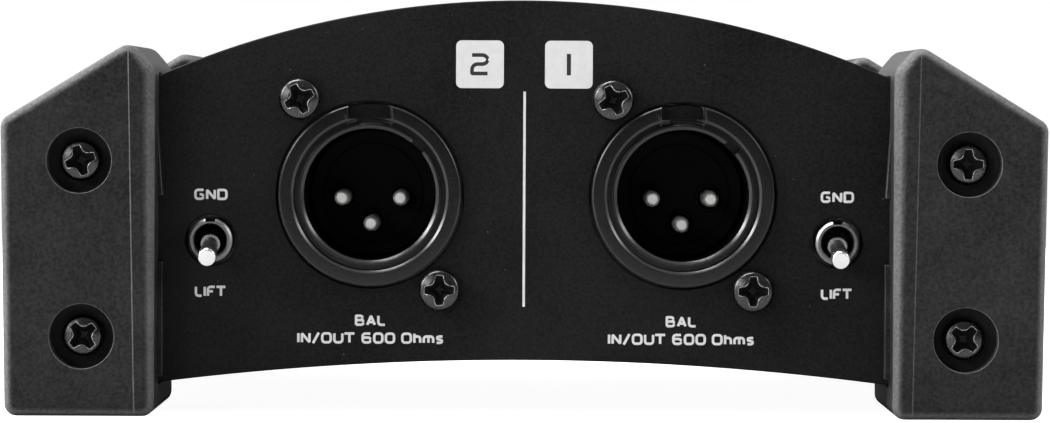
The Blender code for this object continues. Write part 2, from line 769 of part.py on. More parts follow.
def main():
    clear_scene()
    make_materials()
    make_shell()
    make_panel("front_panel", -1, front_holes())
    make_panel("rear_panel", 1, rear_holes())
    for end_name, end in (("front", -1), ("rear", 1)):
        for side_name, side in (("left", -1), ("right", 1)):
            make_bumper(f"bumper_{end_name}_{side_name}", side, end)
    make_bumper_screws()
    for channel, side in CHANNELS.items():
        make_xlr(channel, side)
        make_toggle(channel, side)
        for name, x in JACK_PLACES.items():
            make_jack(f"{name}_{channel}", side * x)
        make_transformer(channel, side)
        make_lift_parts(channel, side)
    make_board()


main()
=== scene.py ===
import json
import math

import bmesh
import bpy
from mathutils import Matrix, Vector


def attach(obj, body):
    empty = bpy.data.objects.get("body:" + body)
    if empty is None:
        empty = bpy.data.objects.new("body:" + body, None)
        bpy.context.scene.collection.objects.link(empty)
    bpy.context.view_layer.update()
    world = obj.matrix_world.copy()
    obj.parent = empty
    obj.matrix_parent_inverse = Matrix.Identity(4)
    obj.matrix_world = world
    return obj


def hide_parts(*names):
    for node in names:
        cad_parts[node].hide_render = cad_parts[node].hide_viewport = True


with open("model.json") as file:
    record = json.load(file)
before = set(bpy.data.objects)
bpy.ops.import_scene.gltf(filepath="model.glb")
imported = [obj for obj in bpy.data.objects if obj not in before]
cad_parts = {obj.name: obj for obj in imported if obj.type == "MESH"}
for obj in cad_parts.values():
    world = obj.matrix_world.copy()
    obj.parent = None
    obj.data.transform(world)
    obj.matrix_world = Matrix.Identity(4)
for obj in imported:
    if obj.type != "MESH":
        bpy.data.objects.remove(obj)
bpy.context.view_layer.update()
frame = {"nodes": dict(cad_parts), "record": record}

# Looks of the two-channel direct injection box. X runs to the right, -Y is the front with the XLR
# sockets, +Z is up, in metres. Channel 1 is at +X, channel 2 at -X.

MM = 0.001
GAP = 0.3 * MM
FINE = 96               # sides of a large turned piece
MEDIUM = 40             # sides of a small one
PAST = 5 * MM           # how far a cutter reaches out of the face that it cuts
UNSEEN_EDGE = 0.1 * MM  # rounding of an edge that another piece covers

# Case, as packed
DEPTH = 132 * MM
TOP_RADIUS = 121 * MM
TOP_CROWN = 54.9 * MM
BOTTOM_RADIUS = 376 * MM
BOTTOM_CROWN = 7.2 * MM
CASE_HALF_WIDTH = 63.6 * MM
LEAN = 0.016            # how far the sides lean out, per unit of height
CASE_WALL = 2.0 * MM
CASE_CORNER = 3.0 * MM
PANEL_FACE = 58 * MM
PANEL_BACK = 56.5 * MM
SHELL_END = 56.2 * MM
PANEL_EDGE = 0.25 * MM
BOARD_TOP = 16 * MM
BOARD_THICKNESS = 1.6 * MM

# Bumpers
BUMPER_LENGTH = 32 * MM
BUMPER_OUTER = 68.04 * MM
BUMPER_SHOULDER = 38.75 * MM
BUMPER_APEX = (51.5 * MM, 49.25 * MM)
BUMPER_INNER = 48.4 * MM
BUMPER_INNER_TOP = 45.6 * MM
BUMPER_CORNER = 1.6 * MM  # rounding of the outline's two lower corners
FILLET = 1.4 * MM         # rounding of the front and back edges
INNER_FILLET = 2.1 * MM   # the same beside the panel
RIDGE = 0.10 * MM
RIDGE_X = (50.95 * MM, 51.85 * MM)
LIP = 0.65 * MM
LIP_THICKNESS = 2 * MM
LIP_NOTCH = (20.1 * MM, 28.9 * MM)
LIP_SPAN = (5.0 * MM, 44.0 * MM)
SCREW_HEIGHTS = {"upper": 33.5 * MM, "lower": 10.5 * MM}
SCREW_X = 57.7 * MM
PORT_RADIUS = 2.9 * MM
SCREW_RADIUS = 1.5 * MM
SCREW_HEAD = 2.75 * MM
SCREW_LENGTH = 15 * MM
SCREW_TURNS = {"left_upper": 0.30, "left_lower": 0.72, "right_upper": 0.0, "right_lower": 0.85}
RECESS_EDGE = 0.07 * MM
COUNTERBORE = 4.25 * MM
COUNTERBORE_DEPTH = 4.3 * MM

# XLR sockets
XLR_X = 20.75 * MM
XLR_SHIFT = 0.3 * MM    # both sockets sit this far to the right of mirrored places
XLR_Z = 29.1 * MM
XLR_FLANGE = 12.1 * MM
XLR_STEP = 10.1 * MM
XLR_RIM = 9.4 * MM
XLR_BORE = 8.75 * MM
XLR_PROUD = 1.0 * MM
XLR_BARREL = 10.9 * MM
XLR_LENGTH = 22 * MM
XLR_SCREW_OFFSET = (9.3 * MM, 12.6 * MM)
XLR_SCREW_HOLE = 1.6 * MM
XLR_SCREW = (2.75 * MM, 6 * MM, 1.25 * MM)  # radius of its head, length, radius of its shaft
XLR_SCREW_TURNS = {"upper": 0.45, "lower": 0.0}
XLR_NOTCH = 5.7 * MM
PIN_RADIUS = 1.2 * MM
PIN_TIP = 4.6 * MM      # how far the pins' tips lie behind the panel's face
PIN_TAIL = 0.5 * MM
PIN_COLLAR = 1.9 * MM
PIN_BORE_SIDES = 43     # unlike the collars' number, so that the cuts through them stay clean
PIN_PLACES = {"ground": (-3.92 * MM, -0.55 * MM), "hot": (3.92 * MM, -0.55 * MM), "cold": (0, -4.0 * MM)}
PIN_TAIL_REACH = {"ground": 2.0 * MM, "hot": 2.0 * MM, "cold": 3.6 * MM}
INSERT_FACE = 44 * MM
INSERT_THICKNESS = 5 * MM

# Toggles
TOGGLE_X = 41.5 * MM
TOGGLE_Z = 22.95 * MM
BUSHING_RADIUS = 2.9 * MM
BUSHING_BORE = 2.15 * MM
BUSHING_PROUD = 1.5 * MM
BUSHING_PITCH = 0.5 * MM
BUSHING_BACK = 6 * MM
KEYWAY = (1.3 * MM, 20 * MM, 0.9 * MM)
PIVOT_DEPTH = 3.0 * MM
LEVER_LENGTH = 9.4 * MM
LEVER_RADIUS = 1.24 * MM
LEVER_HIGHLIGHT_START = 6.2 * MM    # the tip's painted highlight starts this far in front of the panel
LEVER_BALL = 1.85 * MM
LEVER_NECK = 0.98 * MM
LEVER_COLLAR = 1.42 * MM
STEM_LENGTH = 10.4 * MM
THROW = math.radians(13)

# Jacks
JACK_PLACES = {"link": 15 * MM, "input": 36 * MM}
JACK_Z = 25 * MM
JACK_BODY = (15 * MM, 26 * MM, 16 * MM)
JACK_THREAD = 4.4 * MM
JACK_PITCH = 0.75 * MM
JACK_BORE = 3.25 * MM
JACK_PROUD = 4.0 * MM
NUT_RADIUS = 6.9 * MM
NUT_THICKNESS = 2.0 * MM

# Printed legends
STROKE = 0.33 * MM
CAP_HEIGHT = 1.18 * MM
LABEL_X = 20.6 * MM
TOGGLE_WORDS = (("GND", 29.0 * MM, 4.1 * MM), ("LIFT", 16.15 * MM, 3.9 * MM))  # text, height, width
XLR_WORDS = (("BAL", 12.4 * MM, 3.8 * MM), ("IN/OUT 600 Ohms", 10.05 * MM, 19.1 * MM))
JACK_WORDS = {"input": "IN", "link": "LINK"}
JACK_WORDS_Z = 36 * MM
DIVIDER = (14.3 * MM, 42.8 * MM)
BADGE = 6.32 * MM
BADGE_X = {1: 5.84 * MM, 2: -5.93 * MM}
BADGE_Z = 46.4 * MM
DIGIT_1 = (1.42 * MM, 0.56 * MM)            # half its height, stroke
DIGIT_2 = (2.44 * MM, 2.12 * MM, 0.5 * MM)  # height, width, stroke
INK = 0.012 * MM        # how far the print stands out

# Studio
AMBIENT = 0.05
LOBES = [  # direction, narrowness and strength of each soft light around the box
    ((-0.8, 0.6, 0), 4, 10.0),
    ((0.8, 0.6, 0), 4, 4.7),
    ((-0.84, -0.32, 0.44), 90, 32),
    ((0.84, -0.32, 0.44), 90, 11),
    ((-0.53, -0.80, 0.27), 80, 9.0),
    ((0, 0, 1), 1, 0.4),
]
FLOOR_RADIUS = 0.7
FLOOR_SHADE = 0.34
FLOOR_GLOW = 0.95
KEY_STRENGTH = 4.8
KEY_WIDTH = math.radians(40)
KEY_FROM = (-0.35, 0.0, 1.0)
LENS = 152.7
CAMERA_PLACE = (-0.5 * MM, -648 * MM, 40.5 * MM)
CAMERA_TURN = (math.pi / 2 - 0.0230, -0.0048, -0.00094)

CHANNELS = {1: 1, 2: -1}
ENDS = {"front": -1, "rear": 1}
SIDES = {"left": -1, "right": 1}

# Letters as strokes on a grid one unit tall. A stroke that returns to its start is a closed loop.
LETTERS = {
    "A": [[(0, 0), (0.4, 1), (0.8, 0)], [(0.14, 0.3), (0.66, 0.3)]],
    "B": [[(0, 0), (0, 1), (0.72, 1), (0.72, 0.52), (0, 0.52)], [(0, 0), (0.8, 0), (0.8, 0.52), (0.3, 0.52)]],
    "D": [[(0, 0), (0, 1), (0.85, 1), (0.85, 0), (0, 0)]],
    "F": [[(0.82, 1), (0, 1), (0, 0)], [(0, 0.5), (0.6, 0.5)]],
    "G": [[(0.85, 1), (0, 1), (0, 0), (0.85, 0), (0.85, 0.5), (0.45, 0.5)]],
    "I": [[(0, 0), (0, 1)]],
    "K": [[(0, 0), (0, 1)], [(0.75, 1), (0.05, 0.48), (0.8, 0)]],
    "L": [[(0, 1), (0, 0), (0.68, 0)]],
    "N": [[(0, 0), (0, 1), (0.8, 0), (0.8, 1)]],
    "O": [[(0, 0), (0, 1), (0.9, 1), (0.9, 0), (0, 0)]],
    "T": [[(-0.16, 1), (0.9, 1)], [(0.37, 1), (0.37, 0)]],
    "U": [[(0, 1), (0, 0), (0.85, 0), (0.85, 1)]],
    "h": [[(0, 1), (0, 0)], [(0, 0.7), (0.62, 0.7), (0.62, 0)]],
    "m": [[(0, 0), (0, 0.7), (1.0, 0.7), (1.0, 0)], [(0.5, 0.66), (0.5, 0)]],
    "s": [[(0.6, 0.7), (0, 0.7), (0, 0.36), (0.6, 0.36), (0.6, 0), (0, 0)]],
    "0": [[(0, 0), (0, 1), (0.86, 1), (0.86, 0), (0, 0)]],
    "2": [[(0, 1), (0.87, 1), (0.87, 0.51), (0, 0.51), (0, 0), (0.85, 0)]],
    "6": [[(0.8, 1), (0, 1), (0, 0), (0.85, 0), (0.85, 0.55), (0.05, 0.55)]],
    "/": [[(0, -0.1), (0.6, 1.08)]],
}
ANGULAR = "AIKN/"        # letters with sharp corners
SQUARE_LEFT = "BD2"      # letters whose left corners are sharp
LETTER_GAP = 0.38
WORD_GAP = 0.5
SHARP_BEND = 0.05
SOFT_BEND = 0.3

# ---- outlines, in x and height


def circle(x, z, radius, sides=FINE):
    turn = 2 * math.pi / sides
    return [(x + radius * math.cos(i * turn), z + radius * math.sin(i * turn)) for i in range(sides)]


def rounded(corners, steps=6):
    """A polygon's points, with each (x, z, radius) corner turned into an arc."""
    points = []
    for i, (x, z, radius) in enumerate(corners):
        if not radius:
            points.append((x, z))
            continue
        here = Vector((x, z))
        before = (Vector(corners[i - 1][:2]) - here).normalized()
        after = (Vector(corners[(i + 1) % len(corners)][:2]) - here).normalized()
        half = before.angle(after) / 2
        centre = here + (before + after).normalized() * radius / math.sin(half)
        start = here + before * radius / math.tan(half) - centre
        end = here + after * radius / math.tan(half) - centre
        sweep = math.atan2(start.x * end.y - start.y * end.x, start.dot(end))
        for step in range(steps + 1):
            points.append(tuple(centre + Matrix.Rotation(sweep * step / steps, 2) @ start))
    return points


def rectangle(x, z, width, height, radius=0.0, steps=4):
    w, h = width / 2, height / 2
    places = ((x - w, z - h), (x + w, z - h), (x + w, z + h), (x - w, z + h))
    return rounded([(*place, radius) for place in places], steps)


def arch(x, radius, crown):
    return crown - radius + math.sqrt(radius * radius - x * x)


def case_outline(inset=0.0, spans=64):
    """The arched outline of case and panels, moved inwards by inset."""
    corner = max(CASE_CORNER - inset, 1.0 * MM)
    low = CASE_HALF_WIDTH - inset + LEAN * arch(CASE_HALF_WIDTH, BOTTOM_RADIUS, BOTTOM_CROWN)
    high = CASE_HALF_WIDTH - inset + LEAN * arch(CASE_HALF_WIDTH, TOP_RADIUS, TOP_CROWN)
    corners = []
    for i in range(spans + 1):
        x = -low + 2 * low * i / spans
        z = arch(x, BOTTOM_RADIUS + inset, BOTTOM_CROWN + inset)
        corners.append((x, z, corner if i in (0, spans) else 0))
    for i in range(spans + 1):
        x = high - 2 * high * i / spans
        z = arch(x, TOP_RADIUS - inset, TOP_CROWN - inset)
        corners.append((x, z, corner if i in (0, spans) else 0))
    kept = [c for c in corners if c[2] or low - abs(c[0]) > corner]
    return rounded(kept, 6)


def bumper_outline(side):
    corners = [
        (BUMPER_OUTER, 0, BUMPER_CORNER),
        (BUMPER_OUTER + LEAN * BUMPER_SHOULDER, BUMPER_SHOULDER, 1.8 * MM),
        (*BUMPER_APEX, 2.1 * MM),
        (BUMPER_INNER, BUMPER_INNER_TOP, 2.5 * MM),
        (BUMPER_INNER, 0, BUMPER_CORNER),
    ]
    return [(side * x, z) for x, z in rounded(corners, 8)]


def screw_x(height):
    return SCREW_X + LEAN * height


# ---- mesh makers


def mesh_object(name, bm):
    bmesh.ops.remove_doubles(bm, verts=bm.verts, dist=1e-7)
    bmesh.ops.recalc_face_normals(bm, faces=bm.faces)
    mesh = bpy.data.meshes.new(name)
    bm.to_mesh(mesh)
    bm.free()
    obj = bpy.data.objects.new(name, mesh)
    bpy.context.scene.collection.objects.link(obj)
    return obj


def skin(name, rings, wrap=False):
    """A closed surface through rings of points, each ring the same number of points."""
    bm = bmesh.new()
    loops = [[bm.verts.new(point) for point in ring] for ring in rings]
    following = loops[1:] + loops[:1] if wrap else loops[1:]
    for a, b in zip(loops, following):
        for i in range(len(a)):
            j = (i + 1) % len(a)
            bm.faces.new((a[i], a[j], b[j], b[i]))
    if not wrap:
        bm.faces.new(loops[0])
        bm.faces.new(loops[-1])
    return mesh_object(name, bm)


def slab(name, outline, y_from, y_to, round_from=0.0, round_to=0.0, steps=5):
    """An outline that fills y_from to y_to, with its edge at each end rounded by a radius or by a
    function of the outline's point."""
    points = [Vector(p) for p in outline]
    count = len(points)
    area = sum(points[i - 1].x * points[i].y - points[i].x * points[i - 1].y for i in range(count))
    outward = []
    for i in range(count):
        arriving = (points[i] - points[i - 1]).normalized()
        along = arriving + (points[(i + 1) % count] - points[i]).normalized()
        outward.append(Vector((along.y, -along.x)).normalized() * math.copysign(1, area))

    def ring(y, radius, angle, direction):
        made = []
        for point, out in zip(points, outward):
            r = radius(point) if callable(radius) else radius
            flat = point - out * r * (1 - math.sin(angle))
            made.append((flat.x, y + direction * r * (1 - math.cos(angle)), flat.y))
        return made

    direction = 1 if y_to > y_from else -1
    angles = [math.pi / 2 * i / steps for i in range(steps + 1)]
    rings = [ring(y_from, round_from, a, direction) for a in (angles if round_from else angles[-1:])]
    rings += [ring(y_to, round_to, a, -direction) for a in (angles[::-1] if round_to else angles[-1:])]
    return skin(name, rings)


def lathe(name, profile, place, steps=FINE, wrap=False, rear=False, tilt=0.0):
    """A profile of (radius, height) or (radius, height, rounding) turned about Y at place. Height
    points out of the front, or of the rear. wrap closes a profile that doesn't meet the axis."""
    corners = [(p[0], p[1], p[2] if len(p) > 2 else 0) for p in profile]
    points = rounded(corners, 4)
    turn = Matrix.Translation(place) @ Matrix.Rotation(math.pi if rear else 0, 4, "Z")
    turn = turn @ Matrix.Rotation(math.pi / 2 + tilt, 4, "X")
    rings = []
    for radius, height in points:
        ring = [Vector((x, y, height)) for x, y in circle(0, 0, radius, steps)]
        rings.append([turn @ point for point in ring])
    return skin(name, rings, wrap)


def block(name, size, place, turn=None):
    bm = bmesh.new()
    bmesh.ops.create_cube(bm, size=1, matrix=Matrix.Diagonal((*size, 1)))
    if turn:
        bm.transform(turn)
    bm.transform(Matrix.Translation(place))
    return mesh_object(name, bm)


def drill(x, z, radius, y_face, y_end, mouth=0.12 * MM, sides=FINE, out=-1):
    """A cutter for a round hole with a softened mouth at y_face."""
    deep = abs(y_end - y_face)
    profile = [(0, PAST), (radius + mouth, PAST), (radius + mouth, 0), (radius, -mouth)]
    profile += [(radius, -deep), (0, -deep)]
    return lathe("cutter", profile, (x, y_face, z), sides, rear=out > 0)


def carve(obj, cutters, operation="DIFFERENCE", material=None):
    """Cuts the cutters from obj, or joins them on, and removes them. The faces that a cutter leaves
    take the material, where one is given."""
    if material:
        obj.data.materials.append(material)
    for cutter in cutters:
        for polygon in cutter.data.polygons:
            polygon.material_index = len(obj.data.materials) - 1 if material else 0
        modifier = obj.modifiers.new("carve", "BOOLEAN")
        modifier.operation = operation
        modifier.solver = "EXACT"
        modifier.object = cutter
    bpy.context.view_layer.update()
    graph = bpy.context.evaluated_depsgraph_get()
    mesh = bpy.data.meshes.new_from_object(obj.evaluated_get(graph), depsgraph=graph)
    obj.modifiers.clear()
    old = obj.data
    obj.data = mesh
    bpy.data.meshes.remove(old)
    for cutter in cutters:
        bpy.data.objects.remove(cutter)
    return obj


def absorb(obj, others):
    """Adds the others' meshes to obj's as further shells."""
    bm = bmesh.new()
    bm.from_mesh(obj.data)
    for other in others:
        bm.from_mesh(other.data)
        bpy.data.objects.remove(other)
    bm.to_mesh(obj.data)
    bm.free()
    return obj


def soften(obj, chosen, width, material=-1):
    """Bevels the edges that chosen picks. Their new faces take the material slot, if one is given."""
    bm = bmesh.new()
    bm.from_mesh(obj.data)
    edges = [edge for edge in bm.edges if chosen(edge)]
    bmesh.ops.bevel(bm, geom=edges, offset=width, segments=2, profile=0.5, affect="EDGES", material=material)
    bm.to_mesh(obj.data)
    bm.free()
    return obj


def tube(name, paths, radius, sides=2):
    """Round wires along paths. A path is a list of points, or of (point, radius), and is a closed
    loop where it ends at its start."""
    curve = bpy.data.curves.new(name, "CURVE")
    curve.dimensions = "3D"
    curve.bevel_depth = radius
    curve.bevel_resolution = sides
    curve.use_fill_caps = True
    for path in paths:
        looped = path[0] == path[-1] and len(path) > 2
        points = path[:-1] if looped else path
        spline = curve.splines.new("POLY")
        spline.points.add(len(points) - 1)
        spline.use_cyclic_u = looped
        for point, place in zip(spline.points, points):
            thick = 1.0
            if len(place) == 2:
                place, thick = place
            point.co = (*place, 1)
            point.radius = thick
    obj = bpy.data.objects.new(name, curve)
    bpy.context.scene.collection.objects.link(obj)
    bpy.context.view_layer.update()
    graph = bpy.context.evaluated_depsgraph_get()
    mesh = bpy.data.meshes.new_from_object(obj.evaluated_get(graph), depsgraph=graph)
    bpy.data.objects.remove(obj)
    made = bpy.data.objects.new(name, mesh)
    bpy.context.scene.collection.objects.link(made)
    return made


# ---- materials


def node(tree, kind, inputs, output=0, **settings):
    """Adds a shader node, sets or links its inputs, and returns one of its outputs."""
    made = tree.nodes.new("ShaderNode" + kind)
    for setting, value in settings.items():
        setattr(made, setting, value)
    for socket, value in inputs.items():
        if isinstance(value, bpy.types.NodeSocket):
            tree.links.new(value, made.inputs[socket])
        else:
            made.inputs[socket].default_value = value
    return made.outputs[output]


def noise(tree, place, scale, detail=3.0):
    return node(tree, "TexNoise", {"Vector": place, "Scale": scale, "Detail": detail})


def spread(tree, value, low, high, out_low=0.0, out_high=1.0):
    inputs = {"Value": value, "From Min": low, "From Max": high, "To Min": out_low, "To Max": out_high}
    return node(tree, "MapRange", inputs)


def blend_colour(tree, factor, a, b):
    return node(tree, "Mix", {0: factor, 6: a, 7: b}, output=2, data_type="RGBA")


def grey(value, tint=(1.0, 1.0, 1.0)):
    return (value * tint[0], value * tint[1], value * tint[2], 1.0)


SPECK_CELLS = 420        # cells per metre, each with room for one speck
SPECK_SIZE = 0.05        # the largest speck, as a share of its cell
SPECK_SHADE = 0.09


def dusty(tree, place, colour, amount):
    """Adds sparse specks of dust to a colour, on a surface that faces along Y."""
    flat = node(tree, "Mapping", {"Vector": place, "Rotation": (math.pi / 2, 0, 0)})
    cells = tree.nodes.new("ShaderNodeTexVoronoi")
    cells.voronoi_dimensions = "2D"
    cells.inputs["Scale"].default_value = SPECK_CELLS
    tree.links.new(flat, cells.inputs["Vector"])
    luck = node(tree, "SeparateColor", {"Color": cells.outputs["Color"]})
    size = spread(tree, luck, 1 - amount, 1.0, 0.0, SPECK_SIZE)
    inside = node(tree, "Math", {0: cells.outputs["Distance"], 1: size}, operation="LESS_THAN")
    bright = node(tree, "SeparateColor", {"Color": cells.outputs["Color"]}, output=1)
    strength = node(tree, "Math", {0: inside, 1: bright}, operation="MULTIPLY")
    return blend_colour(tree, strength, colour, grey(SPECK_SHADE))


def wear_and_highlight_edges(tree, patches, colour, worn):
    """Turns a colour to the edge colour on rounded edges, where the surface faces neither along Y nor across
    it. The edge colour is partly wear and partly a painted highlight for the light that rounded edges catch.
    """
    slope = node(tree, "SeparateXYZ", {0: node(tree, "TexCoord", {}, output=1)}, output=1)
    facing = node(tree, "Math", {0: slope}, operation="ABSOLUTE")
    low = spread(tree, facing, 0.03, 0.3)
    high = spread(tree, facing, 0.995, 0.82)
    edge = node(tree, "Math", {0: low, 1: high}, operation="MULTIPLY")
    strength = spread(tree, patches, 0.2, 0.8, 0.6, 1.0)
    patchy = node(tree, "Math", {0: edge, 1: strength}, operation="MULTIPLY")
    return blend_colour(tree, patchy, colour, worn)


def textured(name, dark, light, rough, metallic=0.0, mottle=70, grain=3500, bump=0.02, worn=None,
             specks=0.0, stretch=(1, 1, 1), **sockets):
    """A material whose colour and roughness vary with a broad and a fine noise. bump is the grain's
    height in millimetres, the edge argument the colour of rounded edges (partly wear, partly a painted
    highlight), specks the share of cells with a speck."""
    material = bpy.data.materials.new(name)
    material.use_nodes = True
    tree = material.node_tree
    shader = tree.nodes["Principled BSDF"]
    shader.inputs["Metallic"].default_value = metallic
    for socket, value in sockets.items():
        shader.inputs[socket.replace("_", " ")].default_value = value
    place = node(tree, "TexCoord", {}, output=3)
    place = node(tree, "Mapping", {"Vector": place, "Scale": stretch})
    broad = spread(tree, noise(tree, place, mottle, 4.0), 0.3, 0.7)
    fine = spread(tree, noise(tree, place, grain, 2.0), 0.32, 0.68)
    half = node(tree, "Mix", {0: 0.6, 2: broad, 3: fine})
    colour = blend_colour(tree, half, dark, light)
    # rounded edges take the edge colour: partly wear, partly a painted highlight
    if worn:
        colour = wear_and_highlight_edges(tree, half, colour, worn)
    if specks:
        colour = dusty(tree, place, colour, specks)
    tree.links.new(colour, shader.inputs["Base Color"])
    tree.links.new(spread(tree, half, 0.0, 1.0, *rough), shader.inputs["Roughness"])
    height = {"Height": fine, "Strength": 1.0, "Distance": bump * MM}
    tree.links.new(node(tree, "Bump", height), shader.inputs["Normal"])
    return material


def make_materials():
    """Every material by name. Grain and mottle are noise scales per metre."""
    spec = "Specular_IOR_Level"
    soft = {"mottle": 200, "grain": 4500}
    metal = {"metallic": 1.0, "mottle": 300, "grain": 5000}
    print_grain = {"mottle": 900, "grain": 9000, "bump": 0.003, spec: 0.2}
    warm = (1, 0.99, 0.96)
    coat = (1, 1.07, 1.03)
    looks = {  # darkest and lightest colour, least and most roughness, and the rest
        "powder_coat": (grey(0.005, coat), grey(0.0095, coat), (0.42, 0.62),
                        {"mottle": 45, "grain": 2600, "bump": 0.012, spec: 0.12}),
        "panel_coat": (grey(0.0003, coat), grey(0.0118, coat), (0.42, 0.62),
                       {"mottle": 60, "grain": 2600, "bump": 0.012, "specks": 0.12, spec: 0.12}),
        # the rubber's rounded edges are painted lighter: partly wear, partly a painted highlight
        "rubber": (grey(0.001), grey(0.028), (0.6, 0.85),
                   {"mottle": 130, "grain": 2300, "bump": 0.05, "worn": grey(0.125), spec: 0.2}),
        # painted highlight: a lighter copy of the rubber for the parting ridge on the left bumpers, for the
        # light from the left
        "rubber_ridge_highlight": (grey(0.07), grey(0.15), (0.5, 0.7), {"mottle": 150, "grain": 2300, "bump": 0.01}),
        # painted shading: a copy of the rubber for the counterbores' walls and floors, its colour set for the
        # light inside them rather than the rubber's own
        "rubber_recess_painted": (grey(0.022), grey(0.036), (0.6, 0.8), {"bump": 0.02, spec: 0.1}),
        "screw_steel": (grey(0.05), grey(0.10), (0.2, 0.3), {**metal, "bump": 0.006}),
        # painted highlight: a bright copy of the screw's metal for the bevelled edges of the cross
        "screw_edge_highlight": (grey(0.45), grey(0.7), (0.25, 0.4), {**metal, "bump": 0.004}),
        # painted shade: a darker, non-metal copy of the screw's surface for the inside of the cross recess
        "screw_recess_shade": (grey(0.006), grey(0.02), (0.4, 0.6), {**soft, "bump": 0.01, spec: 0.2}),
        # the socket's rounded edges are painted lighter: partly wear, partly a painted highlight
        "socket_black": (grey(0.003), grey(0.007), (0.14, 0.22),
                         {**soft, "bump": 0.003, "worn": grey(0.035), spec: 0.38}),
        "insert_black": (grey(0.002), grey(0.004), (0.5, 0.7), {**soft, "bump": 0.01, spec: 0.08}),
        "pin_silver": (grey(0.6), grey(0.85, warm), (0.4, 0.55), {**metal, "metallic": 0.6, "bump": 0.004}),
        # the nickel's rounded edges are painted lighter: partly wear, partly a painted highlight
        "nickel": (grey(0.15, warm), grey(0.25, warm), (0.3, 0.45),
                   {**metal, "bump": 0.006, "worn": grey(0.36)}),
        # painted reflection: the lever's chrome is set darker than chrome for the dark surroundings it
        # mirrors, and its tip is a much brighter copy, a painted highlight
        "chrome_painted_dark": (grey(0.2), grey(0.3), (0.22, 0.35), {**metal, "bump": 0.002}),
        "lever_tip_highlight": (grey(0.78), grey(0.9), (0.15, 0.28), {**metal, "bump": 0.002}),
        # the jack's rounded edges are painted lighter: partly wear, partly a painted highlight
        "jack_plastic": (grey(0.010), grey(0.018), (0.4, 0.55), {**soft, "bump": 0.01, "worn": grey(0.03)}),
        "ink": (grey(0.58), grey(0.68), (0.5, 0.65), print_grain),
        "dark_ink": (grey(0.022), grey(0.032), (0.5, 0.65), print_grain),
        "board_green": ((0.008, 0.06, 0.02, 1), (0.015, 0.10, 0.035, 1), (0.3, 0.5),
                        {"mottle": 120, "grain": 3000, "bump": 0.01}),
        "core_steel": (grey(0.10), grey(0.22), (0.4, 0.6),
                       {**metal, "mottle": 150, "grain": 2500, "bump": 0.03, "stretch": (0.05, 1, 0.05)}),
        "coil_tape": ((0.42, 0.28, 0.03, 1), (0.55, 0.40, 0.07, 1), (0.3, 0.5),
                      {"mottle": 120, "grain": 1500, "bump": 0.03, "stretch": (1, 1, 6)}),
        "film_red": ((0.22, 0.02, 0.015, 1), (0.34, 0.04, 0.03, 1), (0.2, 0.35), {**soft, "bump": 0.01}),
        "resistor_blue": ((0.06, 0.16, 0.30, 1), (0.12, 0.25, 0.42, 1), (0.25, 0.4), {**soft, "bump": 0.01}),
    }
    return {name: textured(name, *tones, **more) for name, (*tones, more) in looks.items()}


# ---- pieces on the frame


BODY_OF = {n: body for body, names in frame["record"]["behaviour"]["bodies"].items() for n in names}


def smooth(obj, sharp):
    for face in obj.data.polygons:
        face.use_smooth = True
    obj.data.set_sharp_from_angle(angle=math.radians(sharp))
    weighted = obj.modifiers.new("even_shading", "WEIGHTED_NORMAL")
    weighted.keep_sharp = True
    weighted.weight = 50


def settle(obj, material, node_name, stands_in=True, sharp=34):
    """Gives a finished piece its material and puts it on its CAD node's body. A piece that stands in
    for the node takes its name and hides it."""
    if stands_in:
        obj.name = node_name + "_finished"
    if not obj.data.materials:
        obj.data.materials.append(material)
    smooth(obj, sharp)
    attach(obj, BODY_OF[node_name])
    if stands_in:
        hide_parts(node_name)
    return obj


# ---- case


def make_shell():
    shell = slab("shell", case_outline(), -SHELL_END, SHELL_END, UNSEEN_EDGE, UNSEEN_EDGE, 2)
    carve(shell, [slab("hollow", case_outline(CASE_WALL), -DEPTH, DEPTH)])
    added = []
    cuts = []
    for side in SIDES.values():
        for height in SCREW_HEIGHTS.values():
            x = side * screw_x(height)
            wall = side * (CASE_HALF_WIDTH + LEAN * height - CASE_WALL / 2)
            added.append(slab("port", circle(x, height, PORT_RADIUS, MEDIUM), -SHELL_END, SHELL_END))
            web = (abs(wall - x), 2 * SHELL_END, PORT_RADIUS)
            added.append(block("web", web, ((x + wall) / 2, 0, height)))
            cuts.append(slab("bore", circle(x, height, SCREW_RADIUS + GAP, MEDIUM), -DEPTH, DEPTH))
            slit = (PORT_RADIUS * 1.5, 2 * DEPTH, 1.4 * MM)
            cuts.append(block("slit", slit, (x - side * PORT_RADIUS, 0, height)))
        rail_x = side * (CASE_HALF_WIDTH - CASE_WALL - 0.8 * MM)
        for z in (BOARD_TOP + 0.9 * MM, BOARD_TOP - BOARD_THICKNESS - 0.8 * MM):
            added.append(block("rail", (4 * MM, 2 * SHELL_END, 0.9 * MM), (rail_x, 0, z)))
    carve(shell, added, "UNION")
    carve(shell, cuts)
    settle(shell, M["powder_coat"], "housing_shell")


def make_panel(node_name, out, drills):
    """A panel that faces out, -1 or 1 along Y, with its own holes and those of the bumper screws."""
    for side in SIDES.values():
        for height in SCREW_HEIGHTS.values():
            drills.append((side * screw_x(height), height, SCREW_RADIUS + GAP, MEDIUM))
    face, back = out * PANEL_FACE, out * PANEL_BACK
    panel = slab("panel", case_outline(), face, back, PANEL_EDGE, UNSEEN_EDGE, 4)
    end = back - out * MM
    carve(panel, [drill(x, z, radius, face, end, sides=sides, out=out) for x, z, radius, sides in drills])
    settle(panel, M["panel_coat"], node_name)


